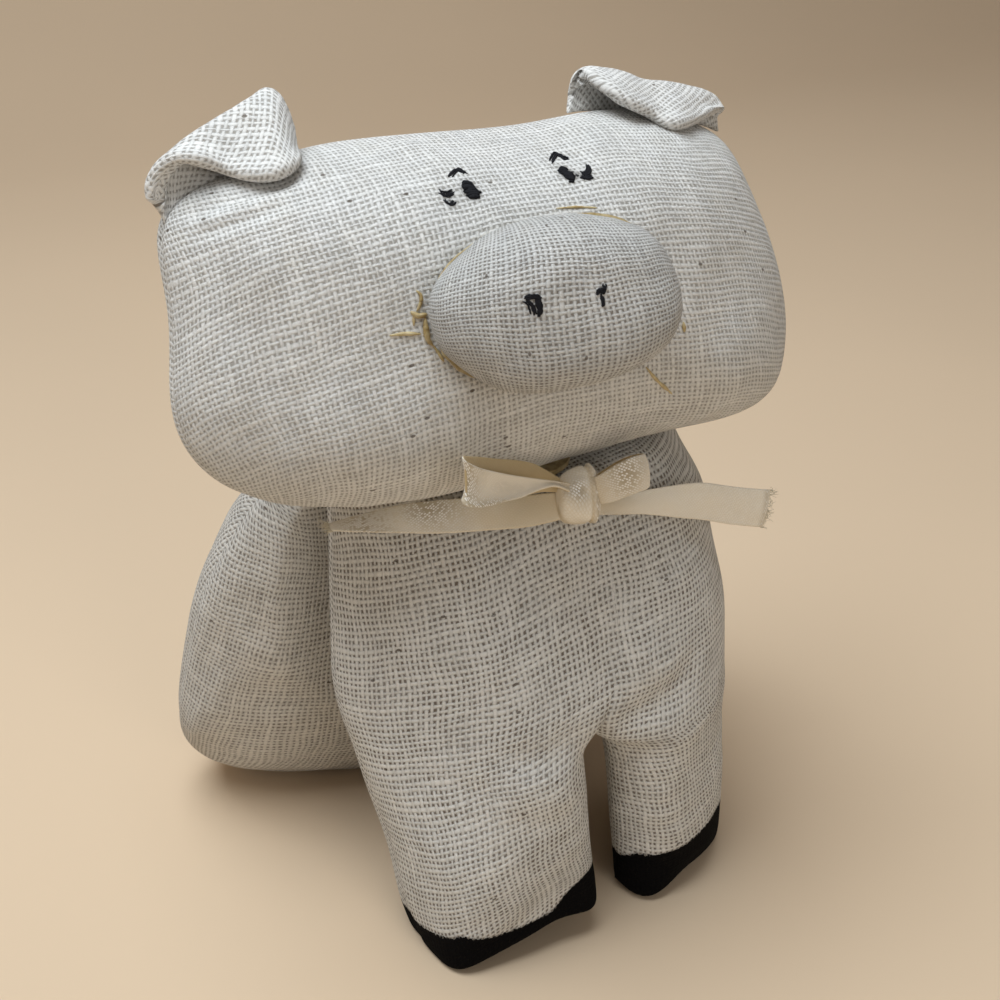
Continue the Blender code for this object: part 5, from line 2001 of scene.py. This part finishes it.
# Each mark's strokes on the face, and how thick its strands are
STITCH_LINES = {
    "eye_right": (
        False, 1,
        (((-9.4, 18.7), (-8.9, 18.85), (-8.3, 18.6)), ((-9.6, 18.25), (-8.9, 18.3), (-8, 18.1)),
         ((-9.6, 17.75), (-8.8, 17.75), (-7.9, 17.5)), ((-9.5, 17.3), (-8.8, 17.2), (-7.9, 17)),
         ((-9.2, 16.8), (-8.7, 16.7), (-8.1, 16.55))),
    ),
    "lash_right": (
        False, 0.5,
        (((-13.2, 18.1), (-13, 17.7), (-12.3, 17.55), (-11.4, 17.8)),
         ((-12.9, 16.8), (-12.7, 16.3), (-12.2, 16.2), (-11.7, 16.5))),
    ),
    "brow_right": (
        False, 0.66, (((-10.8, 19.9), (-10, 20.4), (-9.1, 20.7), (-8.6, 20.4), (-8.2, 20.2)),),
    ),
    "eye_left": (
        False, 1,
        (((6, 18.95), (6.5, 19.1), (7, 18.9)), ((5.85, 18.6), (6.6, 18.6), (7.2, 18.4)),
         ((6, 18.15), (6.7, 18.15), (7.3, 17.95)), ((6.3, 17.75), (6.8, 17.65), (7.3, 17.5)),
         ((6.5, 17.4), (6.9, 17.3), (7.2, 17.25))),
    ),
    "lash_left": (
        False, 0.85,
        (((8.6, 17.25), (9.2, 17), (10.1, 17.1)), ((8.9, 17.9), (9.5, 17.7), (10.2, 18.2), (10.6, 18.9))),
    ),
    "brow_left": (
        False, 0.6, (((5.6, 20.45), (6.3, 21), (7.3, 21.55), (7.7, 21.3), (7.8, 20.95), (8.5, 20.75)),),
    ),
    "nostril_right": (
        True, 0.72,
        (((-8, 2.5), (-7.1, 2.4), (-6.2, 2.2)), ((-8, 2.1), (-7.5, 1.5), (-7.4, 0.45)),
         ((-6.5, 2.15), (-6.45, 1.2), (-6.6, 0.1))),
    ),
    "nostril_left": (
        True, 0.7,
        (((2.75, 1.75), (2.5, 1.2), (2.2, 0.9)), ((1.3, 1.1), (1.9, 1.2), (2.5, 1.15)),
         ((1.8, 0.6), (1.8, -0.2), (1.7, -0.6))),
    ),
}

# Strings of glue on the face, and how thick each is, in millimetres
GLUE_LINES = (
    (((-19.3, 6), (-18.8, 5.2), (-19.1, 4), (-19.6, 3.3)), 0.55),
    (((-20.4, 3.4), (-19.5, 2.7), (-18.3, 2.7)), 0.85),
    (((-20, 3.3), (-20.1, 2.4), (-20.2, 1.5)), 0.5),
    (((-18.6, 2.4), (-18.7, 0.7), (-18.6, -0.6), (-18, -1.6)), 0.95),
    (((-18, -1.5), (-17.3, -2.9), (-16.9, -3.9)), 0.55),
    (((-23.4, 0.8), (-21.5, 0.7), (-19.4, 0.3)), 0.6),
    (((12.8, -11.3), (14.6, -13.5), (17.1, -16), (17.9, -16.8)), 0.6),
    (((18.9, -5.75), (18.95, -7.25)), 0.5),
    (((2.4, 13.4), (5.4, 13.15), (8.5, 12.5)), 0.4),
)

# Where the satin gets painted highlights, and where painted golden shade: along, across, reach both ways,
# strength
SATIN_PAINTED_GLINTS = {
    "loop_right_band": (
        (0.56, 0.5, 0.07, 1, 1), (0.63, 0.9, 0.12, 0.26, 1), (0.6, 0.15, 0.05, 0.2, 0.8),
        (0.72, 0.55, 0.1, 0.3, 0.35), (0.95, 0.3, 0.06, 0.4, 0.8),
    ),
    "loop_left_band": ((0.28, 0.35, 0.18, 0.6, 1),),
    "tail_right_band": (
        (0.8, 0.5, 0.17, 0.7, 1), (0.52, 0.35, 0.13, 0.45, 0.95), (0.66, 0.9, 0.12, 0.12, 0.7),
        (0.75, 0.97, 0.3, 0.07, 0.8),
    ),
    "tail_left_band": ((0.97, 0.5, 0.02, 1, 0.6), (0.12, 0.9, 0.12, 0.15, 0.7)),
}
# Painted golden shade, mostly near the knot
SATIN_GOLDEN_SHADES = {
    "tail_right_band": ((0.1, 0.3, 0.3, 0.9, 0.75), (0.6, 0, 0.3, 0.25, 0.4)),
    "tail_left_band": ((0.05, 0.2, 0.18, 0.8, 0.55),),
    "loop_left_band": ((0, 0.5, 0.1, 1, 0.4),),
    "loop_right_band": ((1, 0.5, 0.06, 1, 0.4),),
}

# Each band's two edges, from the knot's middle
BOW_EDGES = {
    "loop_right": (
        ((-2.6, 1.4, 2.2), (-5.8, 0.5, 5.1), (-7.9, -0.3, 6.9), (-10.5, -1.5, 8.6), (-15.3, -4.1, 11.3),
         (-19.1, -6.5, 13.6), (-21.7, -8.5, 15.3), (-23, -9.8, 16.2), (-23.1, -10.5, 16.1),
         (-21, -9.8, 14.2), (-16.8, -7.5, 11.2), (-12.5, -5.3, 8.5), (-8.2, -3.3, 6), (-5.5, -2.1, 4.5),
         (-2.6, -1.4, 3)),
        ((-2.6, 1.2, 0.4), (-6, 0.5, 1.6), (-8.1, -0.3, 2.2), (-10.7, -1.5, 2.9), (-15.4, -4.1, 5),
         (-19.2, -6.5, 7.2), (-21.8, -8.4, 8.8), (-23.1, -9.8, 9.5), (-23.1, -10.8, 9.4), (-21, -10.3, 8.3),
         (-17.2, -8.3, 6.9), (-12.5, -5.7, 5.4), (-8.2, -3.5, 4.5), (-5.5, -2.2, 3.6), (-2.6, -1.6, 1.6)),
    ),
    "loop_left": (
        ((0.8, -1.8, 3.5), (1.7, -2.5, 4.3), (2.9, -3.2, 5.4), (4.2, -3.7, 6.3), (5.5, -4.1, 6.9),
         (6.8, -4.1, 6.9), (7.8, -3.3, 6.4), (8, -2.1, 5.8), (7, -1.1, 5.2), (5.5, -0.3, 4.3),
         (3.9, 0.3, 3.2), (2.2, 0.7, 2.1)),
        ((1.8, -2.1, -0.9), (2.6, -2.9, -0.6), (3.8, -3.7, 0), (5.1, -4.3, 0.6), (6.3, -4.7, 1.1),
         (7.6, -4.7, 1.3), (8.6, -3.9, 1.1), (8.8, -2.7, 0.6), (7.7, -1.5, -0.3), (6, -0.5, -1.2),
         (4.3, 0.1, -1.8), (2.9, 0.5, -2)),
    ),
    "tail_right": (
        ((-2.6, 0.9, 0.6), (-7.9, 2.2, 0.6), (-14, 4.4, 0.6), (-19.9, 6.7, 0.3), (-25.4, 8.9, -0.4),
         (-29.3, 11.3, -2), (-32.5, 13, -3.3), (-34.3, 13.6, -3.8)),
        ((-2.8, -0.3, -3.3), (-8.5, 0.5, -3.7), (-14.7, 2.2, -3.7), (-20.6, 4.3, -3.8), (-25.9, 6.5, -3.6),
         (-29.7, 8.5, -3.6), (-32.7, 10.7, -3.9), (-34.4, 12.1, -4.1)),
    ),
    "tail_left": (
        ((2, 1.2, -0.6), (5.6, 1.2, -2.2), (8.3, 1.2, -2.7), (11.2, 1.2, -2.7), (15.6, 1.2, -3),
         (21.1, 1.2, -3.7), (27.3, 1.6, -6.1), (31.6, 1.8, -7.6), (34.9, 2, -8.7)),
        ((1.4, 0.1, -3.9), (5.2, 0.2, -4.9), (8, 0.3, -5.6), (11, 0.4, -6.4), (15.5, 0.5, -8),
         (21.3, 0.7, -10.1), (27.6, 1.1, -12.8), (31.5, 1.4, -14.3), (33.6, 1.6, -15)),
    ),
}

# The paint's upper line on each leg: shares of the way from the inner seam to the outer, and heights
PAINT_LINES = {
    (Side.RIGHT, Face.FRONT): (
        (0, 11), (0.14, 9.7), (0.28, 6.3), (0.37, 3), (0.54, 3.7), (0.67, 5.3), (0.84, 8),
        (0.95, 6.3), (1, 5),
    ),
    (Side.RIGHT, Face.BACK): ((0, 11), (0.3, 6), (0.6, 7.5), (1, 5)),
    (Side.LEFT, Face.FRONT): (
        (0, 7), (0.01, 8), (0.03, 10), (0.12, 11), (0.21, 11), (0.4, 11.7), (0.56, 12),
        (1, 9),
    ),
    (Side.LEFT, Face.BACK): ((0, 7), (0.4, 5.5), (0.7, 8), (1, 9)),
}

# Folds under the right ear and on the body's front: two ends, height, width and how soon they fade
HEAD_CREASES = (
    Crease((-44, 18.6), (-31, 22.6), -0.55, 0.8, 0.15),
    Crease((-43.5, 17.2), (-30.5, 21.2), 0.35, 0.7, 0.2),
    Crease((-43, 15.9), (-31, 19.9), -0.3, 0.6, 0.2),
    Crease((-42, 14.8), (-32, 18.6), 0.2, 0.6, 0.2),
)
FRONT_CREASES = (
    Crease((-4, 40.6), (-17, 38.5), -1.3, 2.1),
    Crease((-6, 31.5), (-18, 34), 0.7, 3.5),
    Crease((0.5, 40.6), (15, 44.5), -1.3, 2),
    Crease((5, 52), (12, 46.8), 1, 3.4),
    Crease((1.5, 57), (-0.5, 44.5), -0.7, 2.6),
    Crease((-6.5, 66.6), (3.5, 67.1), 0.6, 1.6),
    Crease((-8, 69.2), (1, 68.6), -0.6, 1.2),
    Crease((-22, 52), (-8, 57), 0.35, 3),
    Crease((14, 62), (24, 57), 0.35, 3),
)

# How far each leg's inner seam stands from the parting, down from the crotch to the sole
LEG_INSETS = {
    Side.RIGHT: ((0, 0), (0.04, 0.41), (0.25, -0.08), (0.5, -0.27), (0.75, -0.57), (1, -0.89)),
    Side.LEFT: ((0, 0), (0.04, 3.37), (0.25, 4.04), (0.5, 4.4), (0.75, 5.36), (1, 6.72)),
}

# Places of the outline in the view's plane, and the moves there, in millimetres
HEAD_TRIM = (
    (-43, 36, -2.88, 0.95), (-43.8, 28, 0.16, -0.01), (-43.3, 21.7, -1.16, -0.15),
    (-42.4, 12.7, -2.06, -0.61), (-40.8, 4, 0.01, 0), (-35.4, -2.1, 2.8, 2.72), (-27.9, -3.6, 1.85, 2.53),
    (-15.8, -1.9, 0.6, 1.68), (-8.2, -0.2, 0.08, 0.76), (10.8, 5, -0.95, 1.56), (16.6, 6.5, -0.91, 1.01),
    (25.2, 9.2, -1.64, 1.17), (31.9, 11.6, -0.69, 0.36), (37.8, 14.5, 1.14, -0.44), (44.2, 22, -0.89, 0.17),
    (44.7, 27, -0.65, 0.04), (42.6, 38.3, -1.55, -0.26), (41.1, 44.7, -2.56, -0.8),
    (38.7, 50.9, -3.46, -1.65), (26.6, 58.9, -2.53, -2.79), (16.8, 58.1, -1.15, -1.84),
    (11.8, 56.9, -0.84, -1.75), (6.3, 55.9, -0.85, -2.69), (-6.1, 52.9, 0.2, -1.87),
    (-15.1, 50.7, 0.59, -1.5), (-21.9, 49, 0.84, -1.22), (-28.4, 48, 0.55, -0.56),
    (-35.7, 44.5, 1.7, -1.16),
)
NOSE_TRIM = (
    (-8.4, 25.6, -0.32, 0.03), (-6.6, 29.4, 0.2, -0.08), (-1.8, 33.3, -0.02, 0.02), (1.6, 35, -0.05, 0.1),
    (5.8, 36.5, 0.04, -0.24), (10, 37.6, -0.14, -0.74), (14.7, 37.8, -0.88, -1.56),
    (18.5, 37.2, -1.31, -1.46), (21.7, 35, -1.85, -1.31), (24.3, 31, -1.89, -0.53),
    (24.4, 25.5, -0.4, 0.03), (22.5, 21.9, 0.26, -0.08), (20.2, 19.7, 0.82, -0.43), (17.5, 18.3, 1.06, -0.82),
    (14.3, 17, 0.75, -0.98), (10.7, 15.6, 0.34, -1.02), (5.2, 14.1, -0.05, -0.36),
    (1.6, 13.7, -0.11, -0.25), (-1.9, 14.1, 0.4, 0.53), (-5.4, 15.8, 0.89, 0.72), (-7.5, 18.1, 0.54, 0.28),
    (-8.4, 21.5, -0.16, -0.03),
)
FRONT_TRIM = (
    (-26.1, -8.7, -0.35, 0), (-25.4, -15.8, -1.24, 0), (-24.5, -23.1, -2.04, 0),
    (-23.3, -30.8, -2.88, 0), (-22.6, -36, -1.85, 0), (-21.4, -43.7, -1.02, 0),
    (-20.5, -49.1, -0.14, 0), (-18.7, -57.2, 0.59, 0), (-17.1, -65.1, 0.73, 0),
    (-16.5, -68.2, 0.5, 0), (-13.4, -72.2, 1.76, 0), (-11.1, -74.1, 2.05, 0), (31.5, 10.4, -2.43, 0),
    (32.3, 5.7, 0.21, 0), (33.3, -4.5, 1.16, 0), (33.6, -10.2, 2.49, 0), (34.7, -20.5, 2.44, 0),
    (35.5, -31, 1.89, 0), (37.2, -42.2, 0.53, 0), (36, -52.8, 2.37, 0), (35.9, -56.5, 2.55, 0),
    (34.9, -60.8, 2.69, 0), (-6.5, -75.5, 0, 0.61), (-2.4, -75.6, 0, 2.34), (1.4, -75.4, 0, 3.99),
    (7.7, -74.5, 0, 6.41), (13.5, -73.1, 0, 6.85), (19.4, -66.9, 0, 3.26), (23, -67.5, 0, -0.39),
    (29.2, -66.6, 0, 3),
)
RUMP_TRIM = (
    (-43.7, 1.1, 0.7, 0), (-46.2, -2.4, 1.37, 0), (-49.6, -8.6, 1.12, 0), (-51.7, -14.4, 0.65, 0),
    (-53.9, -21.8, 0.4, 0), (-55.6, -29.1, -0.01, 0), (-55.8, -36, -1.7, 0),
    (-54.3, -39.6, -2.79, 0), (-53.1, -43, -3.48, 0), (-50.3, -46.4, -5.02, 0),
)


# ---- the studio


# Each lamp's name, place, width, watts and colour
LAMPS = (
    ("key", (-0.15, 0.01, 0.62), 0.42, 4.0, (0.87, 0.94, 1.0)),
    ("fill", (0.08, -0.74, 0.36), 0.30, 0.85, (1.0, 0.96, 0.90)),
)


@dataclass
class Studio:
    """The paper sheet under and behind the pig, and soft light."""

    paper: Paper = Paper()
    size: float = 3.0
    bend_at: float = 0.42
    bend_radius: float = 0.35
    bend_steps: int = 16
    aim: tuple = (0.0, 0.0, 0.06)
    room: tuple = (1.0, 0.95, 0.90, 1.0)
    room_strength: float = 0.22

    def build(self) -> None:
        """Makes the floor that curves up behind, the lamps and the world."""
        turn = np.radians(np.linspace(0, 90, self.bend_steps))
        half, back = self.size / 2, self.bend_at + self.bend_radius
        depth = np.concatenate([[-half], self.bend_at + self.bend_radius * np.sin(turn), [back]])
        rise = np.concatenate([[0.0], self.bend_radius * (1 - np.cos(turn)), [half]])
        grid = np.stack(np.broadcast_arrays(np.array([-half, half]), depth[:, None], rise[:, None]), axis=-1)
        mesh = bpy.data.meshes.new("backdrop")
        faces = Patch(grid, grid[..., :2]).faces(0)
        mesh.from_pydata(grid.reshape(-1, 3).tolist(), [], faces.tolist())
        mesh.shade_smooth()
        mesh.materials.append(self.paper.make())
        floor = bpy.data.objects.new("backdrop", mesh)
        bpy.context.scene.collection.objects.link(floor)
        for lamp in LAMPS:
            self.lamp(*lamp)
        world = bpy.data.worlds.new("room")
        world.use_nodes = True
        background = world.node_tree.nodes["Background"]
        background.inputs["Color"].default_value = self.room
        background.inputs["Strength"].default_value = self.room_strength
        bpy.context.scene.world = world

    def lamp(self, name: str, place: tuple, size: float, power: float, colour: tuple) -> None:
        """Adds a square soft lamp that faces the pig.

        Args:
            name: The lamp's name.
            place: Where it hangs.
            size: How wide it is.
            power: How strong it is, in watts.
            colour: Its colour.
        """
        data = bpy.data.lights.new(name, "AREA")
        data.size, data.energy, data.color = size, power, colour
        lamp = bpy.data.objects.new(name, data)
        lamp.location = place
        lamp.rotation_mode = "QUATERNION"
        lamp.rotation_quaternion = (Vector(self.aim) - Vector(place)).to_track_quat("-Z", "Y")
        bpy.context.scene.collection.objects.link(lamp)


def parts() -> tuple[Head, Nose, Front, Rump]:
    """Sets up the pig's stuffed forms.

    Returns:
        Head, nose, front and rump, fitted to their outlines.
    """
    # Each piece gets a lighter or darker copy of the same cloth, with its own level and hole colour: painted
    # light and shade
    head_weave = Weave(
        across_pitch=0.00076,
        up_pitch=0.00083,
        hole=(0.40, 0.375, 0.335, 1.0),
        painted=True,
        ragged=0.28,
        painted_relief_shade=0.26,
        level=0.80,
    )
    front_weave = Weave(
        name="front_osnaburg",
        painted=True,
        level=0.77,
        thread=(0.765, 0.755, 0.73, 1.0),
        thread_share=0.30,
        hole=(0.18, 0.145, 0.11, 1.0),
        relief=0.00026,
    )
    # The nose's copy is darker: painted shade
    nose_weave = Weave(name="nose_osnaburg", across_pitch=0.00069, up_pitch=0.00086, level=0.55)
    # The rump's copy is darker and its thread warmer: painted shade and painted warm light from the floor
    rump_weave = Weave(name="rump_osnaburg", level=0.61, thread=(0.745, 0.715, 0.665, 1.0))
    head = Head(head_weave, Trim(HEAD_TRIM), HEAD_CREASES, HEAD_STAINS)
    nose = Nose(head, nose_weave, Trim(NOSE_TRIM, reach=8.0))
    front = Front(front_weave, Trim(FRONT_TRIM, reach=10.0), FRONT_CREASES, PAINT_LINES, LEG_INSETS)
    return head, nose, front, Rump(rump_weave, Trim(RUMP_TRIM))


def main() -> None:
    """Builds the pig's pieces in order and reports each."""
    logging.basicConfig(level=logging.INFO, format="%(message)s")
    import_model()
    View().make_camera()
    Studio().build()
    head, nose, front, rump = parts()
    pieces = [head.build(), nose.build(), front.build(), rump.build()]
    for side in Side:
        # The ears' copy is darker: painted shade
        weave = Weave(
            name=f"ear_{side.name.lower()}_osnaburg",
            across_pitch=0.00074,
            up_pitch=0.00080,
            hole=(0.34, 0.31, 0.27, 1.0),
            relief=0.00010,
            level=0.66,
        )
        pieces.append(Ear(side, head, weave, *EAR_LINES[side]).build())
    face, pad = Skin(pieces[0], head.at), Skin(pieces[1], nose.at)
    black_thread = Yarn("black_thread", (0.006, 0.006, 0.007, 1.0), (0.022, 0.022, 0.026, 1.0))
    sewing = Stitches(face, pad, black_thread)
    for node, (on_nose, fat, lines) in STITCH_LINES.items():
        pieces.append(sewing.bundle(node, lines, on_nose, fat))
    glue = Glue()
    pieces.append(GlueBits(face, glue).build())
    frayed_end = Yarn("frayed_end", (0.86, 0.82, 0.70, 1.0), (0.62, 0.55, 0.40, 1.0))
    pieces += Bow(Satin(), frayed_end).build()
    packed_glue = glue.make()
    for node in ("nose_glue", "neck_glue"):
        bpy.data.objects[node].material_slots[0].material = packed_glue
    for piece in pieces:
        LOG.info("%s: %d faces", piece.name, len(piece.data.polygons))
    bpy.context.scene.view_settings.view_transform = "Standard"


if __name__ == "__main__":
    main()
